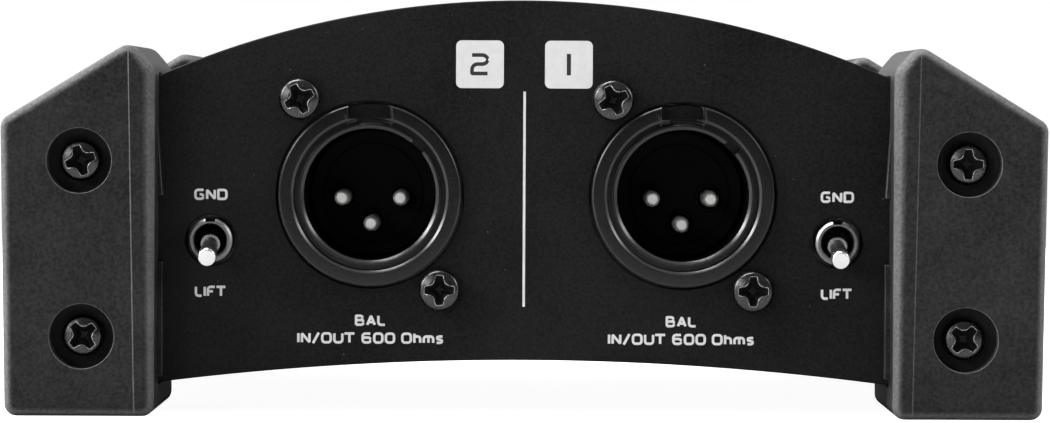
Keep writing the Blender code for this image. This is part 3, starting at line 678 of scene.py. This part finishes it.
def front_drills():
    drills = []
    dx, dz = XLR_SCREW_OFFSET
    for side in CHANNELS.values():
        x = side * XLR_X + XLR_SHIFT
        drills.append((x, XLR_Z, XLR_FLANGE + GAP, FINE))
        drills.append((x - dx, XLR_Z + dz, XLR_SCREW_HOLE, MEDIUM))
        drills.append((x + dx, XLR_Z - dz, XLR_SCREW_HOLE, MEDIUM))
        drills.append((side * TOGGLE_X, TOGGLE_Z, BUSHING_RADIUS + 0.45 * MM, FINE))
    return drills


def rear_drills():
    places = [side * x for side in CHANNELS.values() for x in JACK_PLACES.values()]
    return [(x, JACK_Z, JACK_THREAD + GAP, FINE) for x in places]


def bumper_fillet(point):
    """The rounding of a bumper's front edge: wider beside the panel, but not at the lower corner."""
    inward = (BUMPER_APEX[0] - abs(point.x)) / (BUMPER_APEX[0] - BUMPER_INNER)
    above = (point.y - BUMPER_CORNER) / (4 * MM)
    return FILLET + (INNER_FILLET - FILLET) * min(max(inward, 0), 1) * min(max(above, 0), 1)


def screw_cutters(place, depth, rear):
    """A counterbore that narrows to the screw's passage, and the chamfer around its mouth."""
    passage = SCREW_RADIUS + GAP
    well = [(0, PAST), (COUNTERBORE, PAST), (COUNTERBORE, -COUNTERBORE_DEPTH)]
    well += [(passage + 0.05 * MM, -COUNTERBORE_DEPTH), (passage, -COUNTERBORE_DEPTH - 0.05 * MM)]
    well += [(passage, -depth), (0, -depth)]
    wide, narrow, deep = 0.13 * MM, 0.05 * MM, 0.5 * MM
    rim = [(0, PAST), (COUNTERBORE + wide, PAST), (COUNTERBORE + wide, narrow)]
    rim += [(COUNTERBORE - narrow, -wide), (COUNTERBORE - narrow, -deep), (0, -deep)]
    return lathe("well", well, place, FINE, rear=rear), lathe("rim", rim, place, FINE, rear=rear)


def make_lips(side, end):
    """The thin strip along a bumper's inner edge that overlaps the panel, with a gap in its middle."""
    inner, edge = BUMPER_INNER + 0.4 * MM, BUMPER_INNER - LIP
    outlines = [
        [(inner, LIP_SPAN[0]), (inner, LIP_NOTCH[0]), (edge, LIP_NOTCH[0]), (edge, LIP_SPAN[0])],
        [(inner, LIP_NOTCH[1]), (inner, LIP_SPAN[1]), (edge, LIP_NOTCH[1])],
    ]
    y = end * (PANEL_FACE + GAP)
    lips = []
    for outline in outlines:
        loop = [(side * x, z) for x, z in outline]
        lips.append(slab("lip", loop, y, y + end * LIP_THICKNESS, 0, 0.12 * MM, 2))
    return lips


def make_bumper(end_name, side_name):
    end, side = ENDS[end_name], SIDES[side_name]
    face = end * (DEPTH / 2 - 0.06 * MM)
    inner_end = end * (DEPTH / 2 - BUMPER_LENGTH)
    bumper = slab("bumper", bumper_outline(side), face, inner_end, bumper_fillet, FILLET, 8)
    pocket = slab("pocket", case_outline(-GAP), end * (PANEL_FACE + GAP), inner_end - end * PAST)
    rims, wells = [], []
    for height in SCREW_HEIGHTS.values():
        place = (side * screw_x(height), face, height)
        well, rim = screw_cutters(place, abs(face - end * (PANEL_FACE - MM)), end > 0)
        wells.append(well)
        rims.append(rim)
    bumper.data.materials.append(M["rubber"])
    carve(bumper, [pocket] + rims)
    # the counterbores' walls and floors take the copy of the rubber toned for the light inside them: painted
    # shading
    carve(bumper, wells, material=M["rubber_recess_painted"])

    lips = make_lips(side, end)
    ridge = parting_ridge(side, end, face)
    # the left bumpers' ridge takes the lighter copy as a painted highlight; the right ones keep the plain
    # rubber
    bumper.data.materials.append(M["rubber_ridge_highlight"])
    for polygon in ridge.data.polygons:
        polygon.material_index = 2 if side_name == "left" else 0
    absorb(bumper, [*lips, ridge])
    settle(bumper, M["rubber"], f"bumper_{end_name}_{side_name}")


def parting_ridge(side, end, face):
    """The mould's parting line: a thin raised line down a bumper's face and over its edges."""
    top = BUMPER_APEX[1] - 0.75 * MM
    sunk = 0.05 * MM
    angles = [math.pi / 2 * i / 8 for i in range(7)]
    lower = [(FILLET * (1 - math.cos(a)), FILLET * (1 - math.sin(a))) for a in angles]
    upper = [(back, top - off) for back, off in lower]
    path = []
    for back, z in upper[::-1] + lower:
        x = RIDGE_X[0] + (RIDGE_X[1] - RIDGE_X[0]) * z / top
        path.append(Vector((side * x, face - end * (back + sunk), z)))
    return tube("ridge", [path], RIDGE, 2)


# ---- screws


def cross_recess(head, dome):
    """The cutter for a screw's cross: a rounded cross that narrows as it goes down from the dome."""
    reach, arm = head * 0.7, head * 0.165
    tip, inner = arm * 0.4, head * 0.3
    corners = []
    for quarter in range(4):
        for x, y, radius in ((reach, -arm, tip), (reach, arm, tip), (arm * 1.5, arm * 1.5, inner)):
            spot = Matrix.Rotation(quarter * math.pi / 2, 2) @ Vector((x, y))
            corners.append((spot.x, spot.y, radius))
    cross = rounded(corners, 4)
    upright = Matrix.Rotation(math.pi / 2, 4, "X")
    levels = ((dome * 1.3, 1.1), (dome * 0.8, 1.0), (dome * 0.3, 0.7), (-dome * 0.05, 0.3))
    rings = [[upright @ Vector((x * scale, y * scale, level)) for x, y in cross] for level, scale in levels]
    return skin("recess", rings)


def screw_pattern(head, length, shaft):
    """A cross-recessed screw whose seat is at the origin, with its head towards the front."""
    dome = head * 0.8
    profile = [
        (0, dome),
        (head * 0.55, dome * 0.97, 0.8 * MM),
        (head * 0.9, dome * 0.84, 0.5 * MM),
        (head, dome * 0.62, 0.25 * MM),
        (head, 0, 0.1 * MM),
        (shaft, 0),
    ]
    pitch = shaft / 3
    turns = int((length - 1.6 * shaft) / pitch)
    for i in range(turns):
        profile += [(shaft, -pitch * (i + 0.5)), (shaft * 0.82, -pitch * (i + 1))]
    profile += [(shaft * 0.8, -length + shaft * 0.6), (shaft * 0.4, -length), (0, -length)]
    screw = lathe("screw", profile, (0, 0, 0), 64)
    screw.data.materials.append(M["screw_steel"])
    # the inside of the cross recess takes the darker copy: painted shade
    carve(screw, [cross_recess(head, dome)], material=M["screw_recess_shade"])
    # the bevelled edges of the cross take the bright copy: painted highlight
    screw.data.materials.append(M["screw_edge_highlight"])

    def at_recess(edge):
        return len({face.material_index for face in edge.link_faces}) > 1

    return soften(screw, at_recess, RECESS_EDGE, material=2)


def make_screw(node_name, pattern, place, turn=0.0, rear=False):
    """A copy of the pattern, turned about its own axis and seated at place."""
    screw = bpy.data.objects.new(node_name, pattern.data.copy())
    bpy.context.scene.collection.objects.link(screw)
    face = Matrix.Rotation(math.pi if rear else 0, 4, "Z")
    screw.data.transform(Matrix.Translation(place) @ face @ Matrix.Rotation(turn, 4, "Y"))
    settle(screw, M["screw_steel"], node_name, sharp=28)


def make_bumper_screws():
    pattern = screw_pattern(SCREW_HEAD, SCREW_LENGTH, SCREW_RADIUS)
    seat = DEPTH / 2 - COUNTERBORE_DEPTH + GAP
    for end_name, end in ENDS.items():
        for side_name, side in SIDES.items():
            for level, height in SCREW_HEIGHTS.items():
                name = f"bumper_screw_{end_name}_{side_name}_{level}"
                place = (side * screw_x(height), end * seat, height)
                make_screw(name, pattern, place, -SCREW_TURNS[f"{side_name}_{level}"], end == 1)
    bpy.data.objects.remove(pattern)


# ---- XLR sockets


def make_xlr_shell(x):
    """The turned socket with its stepped flange, the ears behind the panel, the latch's notch and the
    key's slot."""
    front = -PANEL_FACE
    low = XLR_PROUD - 0.45 * MM
    groove = -XLR_PROUD + 0.15 * MM
    profile = [
        (XLR_FLANGE, XLR_PROUD, 0.35 * MM),
        (XLR_FLANGE, -1.8 * MM),
        (XLR_BARREL, -4.5 * MM),
        (XLR_BARREL, -XLR_LENGTH, 0.2 * MM),
        (XLR_BORE, -XLR_LENGTH),
        (XLR_BORE, -7 * MM),
        (XLR_BORE, low - 0.29 * MM, 0.06 * MM),
        (XLR_BORE + 0.41 * MM, low, 0.06 * MM),
        (XLR_RIM, low, 0.08 * MM),
        (XLR_RIM, groove),
        (XLR_STEP, groove),
        (XLR_STEP, XLR_PROUD - 0.25 * MM, 0.06 * MM),
        (XLR_STEP + 0.35 * MM, XLR_PROUD, 0.06 * MM),
    ]
    shell = lathe("xlr", profile, (x, front, XLR_Z), FINE, wrap=True)

    dx, dz = XLR_SCREW_OFFSET
    ear, side, bend = 3.1 * MM, 6 * MM, 4 * MM
    corners = [
        (x - dx - ear, XLR_Z + dz + ear, ear),
        (x - dx - ear, XLR_Z - side, bend),
        (x - side, XLR_Z - dz - ear, bend),
        (x + dx + ear, XLR_Z - dz - ear, ear),
        (x + dx + ear, XLR_Z + side, bend),
        (x + side, XLR_Z + dz + ear, bend),
    ]
    plate = -PANEL_BACK + GAP
    ears = slab("ears", rounded(corners, 6), plate, plate + 2.4 * MM, 0.2 * MM, 0.2 * MM, 2)
    holes = [slab("hole", circle(x, XLR_Z, XLR_STEP + 0.3 * MM), -DEPTH, 0)]
    for sign in (-1, 1):
        spot = circle(x + sign * dx, XLR_Z - sign * dz, XLR_SCREW_HOLE, MEDIUM)
        holes.append(slab("hole", spot, -DEPTH, 0))
    carve(ears, holes)
    carve(shell, [ears], "UNION")

    notch_place = (x, front, XLR_Z + XLR_STEP + 1.4 * MM)
    notch = block("notch", (XLR_NOTCH, 2.4 * MM, 3 * MM), notch_place)
    arm = (XLR_BORE + 0.35 * MM) * math.sqrt(0.5)
    key_turn = Matrix.Rotation(math.pi / 4, 4, "Y")
    key = block("key", (2.0 * MM, 6 * MM, 1.7 * MM), (x + arm, front, XLR_Z + arm), key_turn)
    carve(shell, [notch, key])

    def beside_notch(edge):
        upper = min(vertex.co.z for vertex in edge.verts) > XLR_Z + XLR_RIM - 0.4 * MM
        middle = max(abs(vertex.co.x - x) for vertex in edge.verts) < XLR_NOTCH * 0.51
        slopes = sorted(face.normal.y for face in edge.link_faces)
        return upper and middle and slopes[0] < -0.95 and abs(slopes[-1]) < 0.1

    return soften(shell, beside_notch, 0.22 * MM)


def make_xlr_insert(x):
    """The disc that holds the pins, with a collar around each pin."""
    rim = XLR_BORE - GAP
    edge = 0.2 * MM
    profile = [(0, -0.4 * MM), (XLR_BORE - 2.2 * MM, -0.4 * MM, edge), (XLR_BORE - 1.8 * MM, 0, edge)]
    profile += [(rim, 0, edge), (rim, -INSERT_THICKNESS), (0, -INSERT_THICKNESS)]
    insert = lathe("insert", profile, (x, -INSERT_FACE, XLR_Z))
    collar = [(0, 0), (PIN_COLLAR, 0, 0.15 * MM), (PIN_COLLAR, -2 * MM), (0, -2 * MM)]
    collars, bores = [], []
    for px, pz in PIN_PLACES.values():
        collars.append(lathe("collar", collar, (x + px, -INSERT_FACE, XLR_Z + pz), MEDIUM))
        spot = circle(x + px, XLR_Z + pz, PIN_RADIUS + GAP, PIN_BORE_SIDES)
        bores.append(slab("bore", spot, -INSERT_FACE - PAST, 0))
    carve(insert, collars, "UNION")
    return carve(insert, bores)


def make_pin(node_name, x, z, down):
    """A pin with a rounded nose, whose tail runs back and then bends down into the board at down."""
    tip = -PANEL_FACE + PIN_TIP
    body_end = -INSERT_FACE + INSERT_THICKNESS + 0.8 * MM
    nose = ((0, 0.5), (0.05, 0.6), (0.15, 0.66), (0.5, 0.74), (1.0, 0.82), (1.5, 0.87), (1.9, 0.89))
    stations = [(tip + back * MM, PIN_RADIUS * share) for back, share in nose]
    stations += [(body_end, PIN_RADIUS * 0.89), (body_end + 0.1 * MM, PIN_RADIUS * 0.85)]
    stations.append((body_end + 0.2 * MM, PIN_TAIL))
    path = [((x, y, z), radius / MM) for y, radius in stations]
    bend = 0.8 * MM
    for i in range(5):
        angle = math.pi / 2 * i / 4
        y = down - bend + bend * math.sin(angle)
        path.append(((x, y, z - bend + bend * math.cos(angle)), PIN_TAIL / MM))
    path.append(((x, down, BOARD_TOP - 3.2 * MM), PIN_TAIL / MM))
    settle(tube("pin", [path], MM, 6), M["pin_silver"], node_name)


def make_xlr(channel, side, pattern):
    x = side * XLR_X + XLR_SHIFT
    front = -PANEL_FACE
    settle(make_xlr_shell(x), M["socket_black"], f"xlr_shell_{channel}", sharp=30)
    settle(make_xlr_insert(x), M["insert_black"], f"xlr_insert_{channel}")
    for pin, (px, pz) in PIN_PLACES.items():
        down = front + XLR_LENGTH + PIN_TAIL_REACH[pin]
        make_pin(f"xlr_pin_{pin}_{channel}", x + px, XLR_Z + pz, down)
    dx, dz = XLR_SCREW_OFFSET
    for level, sign in (("upper", -1), ("lower", 1)):
        spot = (x + sign * dx, front - 0.02 * MM, XLR_Z - sign * dz)
        make_screw(f"xlr_screw_{level}_{channel}", pattern, spot, -XLR_SCREW_TURNS[level])


# ---- toggles


def thread(radius, depth, start, pitch, turns):
    """The profile of a thread's crests and roots, from start downwards."""
    points = []
    for i in range(turns):
        z = start - pitch * i
        points += [(radius, z), (radius - depth, z - pitch / 2)]
    return points


def make_bushing(channel, x):
    """The threaded bushing with its keyway, and the toggle's frame plate behind the panel."""
    front = -PANEL_FACE
    mouth = BUSHING_PROUD
    root = 0.16 * MM
    profile = [(BUSHING_RADIUS - 0.28 * MM, mouth, 0.06 * MM), (BUSHING_RADIUS, mouth - 0.28 * MM)]
    profile += thread(BUSHING_RADIUS, root, mouth - 0.45 * MM, BUSHING_PITCH, 10)
    profile += [
        (BUSHING_RADIUS - root, -BUSHING_BACK),
        (BUSHING_BORE, -BUSHING_BACK),
        (BUSHING_BORE, mouth - 1.1 * MM),
        (BUSHING_BORE, mouth - 0.35 * MM, 0.05 * MM),
        (BUSHING_BORE + 0.14 * MM, mouth, 0.05 * MM),
    ]
    bushing = lathe("bushing", profile, (x, front, TOGGLE_Z), FINE, wrap=True)
    carve(bushing, [block("keyway", KEYWAY, (x, front, TOGGLE_Z + BUSHING_RADIUS))])
    plate_y = front + 5.5 * MM
    outline = rectangle(x, TOGGLE_Z, 7 * MM, 12.8 * MM, 0.5 * MM)
    plate = slab("frame", outline, plate_y, plate_y + 0.9 * MM, 0.15 * MM, 0.15 * MM, 2)
    carve(plate, [slab("hole", circle(x, TOGGLE_Z, BUSHING_BORE + 0.2 * MM), -DEPTH, 0)])
    absorb(bushing, [plate])
    settle(bushing, M["nickel"], f"toggle_bushing_{channel}", sharp=24)


def make_lever(channel, x):
    """The lever, tilted down to its rest, with a ball at its pivot and a stem behind. Its chrome is painted
    dark for the dark surroundings it mirrors, and its smoother tip painted much brighter: painted reflection
    and highlight.
    """
    front = -PANEL_FACE
    ball, stem = LEVER_BALL, 0.8 * MM
    profile = [
        (0, LEVER_LENGTH),
        (LEVER_RADIUS * 0.88, LEVER_LENGTH - 0.03 * MM, 0.2 * MM),
        (LEVER_RADIUS, LEVER_LENGTH - 0.3 * MM, 0.15 * MM),
        (LEVER_RADIUS, LEVER_LENGTH - 1.0 * MM, 0.4 * MM),
        (LEVER_NECK, 3.4 * MM, 0.8 * MM),
        (LEVER_NECK, 2.35 * MM),
        (LEVER_COLLAR - 0.12 * MM, 2.3 * MM, 0.08 * MM),
        (LEVER_COLLAR, 2.05 * MM, 0.12 * MM),
        (LEVER_COLLAR - 0.1 * MM, 1.6 * MM),
        (ball * 0.8, ball * 0.6, 0.3 * MM),
        (ball, 0, 0.8 * MM),
        (ball * 0.8, -ball * 0.6, 0.3 * MM),
        (stem, -ball * 0.9),
        (stem, -STEM_LENGTH + 0.3 * MM, 0.2 * MM),
        (0.5 * MM, -STEM_LENGTH, 0.1 * MM),
        (0, -STEM_LENGTH),
    ]
    pivot = (x, front - BUSHING_PROUD + PIVOT_DEPTH, TOGGLE_Z)
    lever = lathe("lever", profile, pivot, MEDIUM, tilt=THROW)
    # the lever takes the chrome painted dark, and the faces in front of the tip's start the bright copy:
    # painted reflection and highlight
    lever.data.materials.append(M["chrome_painted_dark"])
    lever.data.materials.append(M["lever_tip_highlight"])
    for polygon in lever.data.polygons:
        polygon.material_index = int(polygon.center.y < front - LEVER_HIGHLIGHT_START)
    settle(lever, M["chrome_painted_dark"], f"toggle_lever_{channel}")


# ---- jacks


def make_jack(name, x):
    width, depth, height = JACK_BODY
    front = PANEL_BACK - GAP
    outline = rectangle(x, BOARD_TOP + GAP + height / 2, width, height, 0.6 * MM)
    body = slab("jack", outline, front, front - depth, 0.3 * MM, 0.3 * MM, 3)
    root = 0.22 * MM
    profile = [(0, JACK_PROUD), (JACK_THREAD - 0.5 * MM, JACK_PROUD, 0.12 * MM)]
    profile.append((JACK_THREAD, JACK_PROUD - 0.4 * MM))
    profile += thread(JACK_THREAD, root, JACK_PROUD - 0.6 * MM, JACK_PITCH, 6)
    profile += [(JACK_THREAD - root, -3.5 * MM), (0, -3.5 * MM)]
    sleeve = lathe("sleeve", profile, (x, PANEL_FACE, JACK_Z), FINE, rear=True)
    bore = drill(x, JACK_Z, JACK_BORE, PANEL_FACE + JACK_PROUD, front - depth + 2 * MM, 0.35 * MM, out=1)
    carve(body, [sleeve], "UNION")
    carve(body, [bore])
    settle(body, M["jack_plastic"], f"jack_{name}", sharp=28)


def make_nut(name, x):
    """A hexagonal nut with its front corners turned off."""
    nut_from = PANEL_FACE + GAP
    nut_end = nut_from + NUT_THICKNESS
    nut = slab("nut", circle(x, JACK_Z, NUT_RADIUS, 6), nut_from, nut_end)
    flat = NUT_RADIUS * math.cos(math.pi / 6)
    half = NUT_THICKNESS / 2
    slope = (NUT_RADIUS - flat) * 0.6
    chamfer = [(0, half), (flat, half), (NUT_RADIUS, half - slope), (NUT_RADIUS, -half), (0, -half)]
    middle = (x, nut_from + half, JACK_Z)
    carve(nut, [lathe("chamfer", chamfer, middle, FINE, rear=True)], "INTERSECT")
    carve(nut, [drill(x, JACK_Z, JACK_THREAD + 0.04 * MM, nut_end, nut_from - MM, 0.3 * MM, out=1)])
    settle(nut, M["nickel"], f"jack_nut_{name}", sharp=20)


# ---- legends


def is_square(letter, px, pz):
    """Whether a letter's corner is sharp."""
    return letter in ANGULAR or letter in SQUARE_LEFT and px == 0 and pz in (0, 1)


def letter_paths(text, x, z, height, width, out):
    """Stroke paths for text centred at x and z, drawn on the panel that faces out. A width of 0
    leaves the letters as wide as their grid."""
    pen = 0.0
    strokes = []
    for letter in text:
        if letter == " ":
            pen += WORD_GAP
            continue
        shapes = LETTERS[letter]
        for shape in shapes:
            strokes.append([(pen + px, pz, is_square(letter, px, pz)) for px, pz in shape])
        pen += max(px for shape in shapes for px, _ in shape) + LETTER_GAP
    total = pen - LETTER_GAP
    stretch = width / total if width else height
    paths = []
    for stroke in strokes:
        looped = stroke[0] == stroke[-1]
        bare = stroke[:-1] if looped else stroke
        corners = []
        for i, (px, pz, square) in enumerate(bare):
            inner = looped or 0 < i < len(bare) - 1
            bend = SHARP_BEND if square else SOFT_BEND
            corners.append((px * stretch, pz * height, bend * height if inner else 0))
        flat = rounded(corners, 4)
        if looped:
            flat.append(flat[0])
        face = out * PANEL_FACE
        paths.append([(x - out * (px - total * stretch / 2), face, z - height / 2 + pz) for px, pz in flat])
    return paths


def printed(name, paths, stroke, material, node_name, lift=0.0):
    """Strokes pressed flat on their panel, standing out by the ink's thickness, and raised by lift."""
    out = math.copysign(1, paths[0][0][1])
    ink = tube(name, paths, stroke / 2, 2)
    face = out * PANEL_FACE
    for vertex in ink.data.vertices:
        vertex.co.y = face + out * lift + (vertex.co.y - face) * INK / (stroke / 2)
    settle(ink, material, node_name, stands_in=False)


def make_front_legends():
    paths = [[(0, -PANEL_FACE, z) for z in DIVIDER]]
    for side in CHANNELS.values():
        for text, z, width in TOGGLE_WORDS:
            paths += letter_paths(text, side * TOGGLE_X, z, CAP_HEIGHT, width, -1)
        for text, z, width in XLR_WORDS:
            paths += letter_paths(text, side * LABEL_X + XLR_SHIFT, z, CAP_HEIGHT, width, -1)
    printed("legends_front", paths, STROKE, M["ink"], "front_panel")


def make_badges():
    """A pale square for each channel, with the channel's number on it."""
    badges = []
    for channel in CHANNELS:
        outline = rectangle(BADGE_X[channel], BADGE_Z, BADGE, BADGE, 0.75 * MM, 8)
        badges.append(slab("badge", outline, -PANEL_FACE - INK, -PANEL_FACE + 0.05 * MM))
    badge = badges[0]
    badge.name = "badges_front"
    absorb(badge, badges[1:])
    settle(badge, M["ink"], "front_panel", stands_in=False)
    height, width, stroke = DIGIT_2
    two = letter_paths("2", BADGE_X[2], BADGE_Z, height, width, -1)
    printed("digit_2", two, stroke, M["dark_ink"], "front_panel", INK)
    half, stroke = DIGIT_1
    one = [[(BADGE_X[1], -PANEL_FACE, BADGE_Z + end * half) for end in (-1, 1)]]
    printed("digit_1", one, stroke, M["dark_ink"], "front_panel", INK)


def make_rear_legends():
    paths = []
    for side in CHANNELS.values():
        for jack, text in JACK_WORDS.items():
            paths += letter_paths(text, side * JACK_PLACES[jack], JACK_WORDS_Z, CAP_HEIGHT, 0, 1)
    printed("legends_rear", paths, STROKE, M["ink"], "rear_panel")


# ---- inner pieces, floor, light, camera


def dress_inner_nodes():
    """Gives the CAD nodes that stay, all inside the case, their materials."""
    dressing = {
        "toggle_case": "jack_plastic",
        "toggle_rocker": "pin_silver",
        "toggle_terminal": "pin_silver",
        "transformer_core": "core_steel",
        "transformer_coil": "coil_tape",
        "lift_capacitor": "film_red",
        "lift_resistor": "resistor_blue",
        "circuit_board": "board_green",
    }
    for name, obj in frame["nodes"].items():
        for start, material in dressing.items():
            if name.startswith(start):
                obj.material_slots[0].material = M[material]


def make_floor():
    """A pale disc that shows white to the camera, and lights the box no more than its own shade does."""
    floor = slab("floor", circle(0, 0, FLOOR_RADIUS, 64), -0.02, 0)
    floor.data.transform(Matrix.Rotation(math.pi / 2, 4, "X"))
    tones = grey(FLOOR_SHADE), grey(FLOOR_SHADE * 1.1), (0.7, 0.8)
    material = textured("floor_pale", *tones, mottle=8, grain=400, bump=0.0)
    tree = material.node_tree
    shader = tree.nodes["Principled BSDF"]
    shader.inputs["Specular IOR Level"].default_value = 0.1
    glow = node(tree, "Emission", {"Color": grey(1.0), "Strength": FLOOR_GLOW})
    both = node(tree, "AddShader", {0: shader.outputs[0], 1: glow})
    seen = node(tree, "LightPath", {})
    shown = node(tree, "MixShader", {0: seen, 1: shader.outputs[0], 2: both})
    tree.links.new(shown, tree.nodes["Material Output"].inputs["Surface"])
    floor.data.materials.append(material)


def make_world():
    """A plain surround, white to the camera, that lights the box with the soft lights of LOBES."""
    world = bpy.data.worlds.new("studio")
    world.use_nodes = True
    tree = world.node_tree
    place = node(tree, "TexCoord", {})
    light = AMBIENT
    for axis, power, strength in LOBES:
        toward = node(tree, "VectorMath", {0: place, 1: axis}, output=1, operation="DOT_PRODUCT")
        lit = node(tree, "Math", {0: toward, 1: 0.0}, operation="MAXIMUM")
        lobe = node(tree, "Math", {0: lit, 1: power}, operation="POWER")
        light = node(tree, "Math", {0: lobe, 1: strength, 2: light}, operation="MULTIPLY_ADD")
    seen = node(tree, "LightPath", {})
    strength = node(tree, "Mix", {0: seen, 2: light, 3: 1.0})
    tree.links.new(strength, tree.nodes["Background"].inputs["Strength"])
    tree.nodes["Background"].inputs["Color"].default_value = grey(1.0)
    bpy.context.scene.world = world


def make_key_light():
    """A wide, soft sun from above."""
    sun = bpy.data.lights.new("key", "SUN")
    sun.energy = KEY_STRENGTH
    sun.angle = KEY_WIDTH
    lamp = bpy.data.objects.new("light_key", sun)
    lamp.rotation_euler = (-Vector(KEY_FROM)).to_track_quat("-Z", "Y").to_euler()
    bpy.context.scene.collection.objects.link(lamp)


def make_camera():
    """A long lens at the height of the sockets' upper edge, almost on the box's centre line, that
    looks slightly down."""
    camera = bpy.data.cameras.new("camera")
    camera.sensor_width = 36
    camera.lens = LENS
    obj = bpy.data.objects.new("camera", camera)
    obj.location = CAMERA_PLACE
    obj.rotation_euler = CAMERA_TURN
    bpy.context.scene.collection.objects.link(obj)
    bpy.context.scene.camera = obj


M = make_materials()
make_shell()
make_panel("front_panel", -1, front_drills())
make_panel("rear_panel", 1, rear_drills())
for end_name in ENDS:
    for side_name in SIDES:
        make_bumper(end_name, side_name)
make_bumper_screws()
xlr_screw = screw_pattern(*XLR_SCREW)
for channel, side in CHANNELS.items():
    make_xlr(channel, side, xlr_screw)
    make_bushing(channel, side * TOGGLE_X)
    make_lever(channel, side * TOGGLE_X)
    for jack, jack_x in JACK_PLACES.items():
        make_jack(f"{jack}_{channel}", side * jack_x)
        make_nut(f"{jack}_{channel}", side * jack_x)
bpy.data.objects.remove(xlr_screw)
make_front_legends()
make_badges()
make_rear_legends()
dress_inner_nodes()
make_floor()
make_world()
make_key_light()
make_camera()
bpy.context.scene.view_settings.view_transform = "Standard"
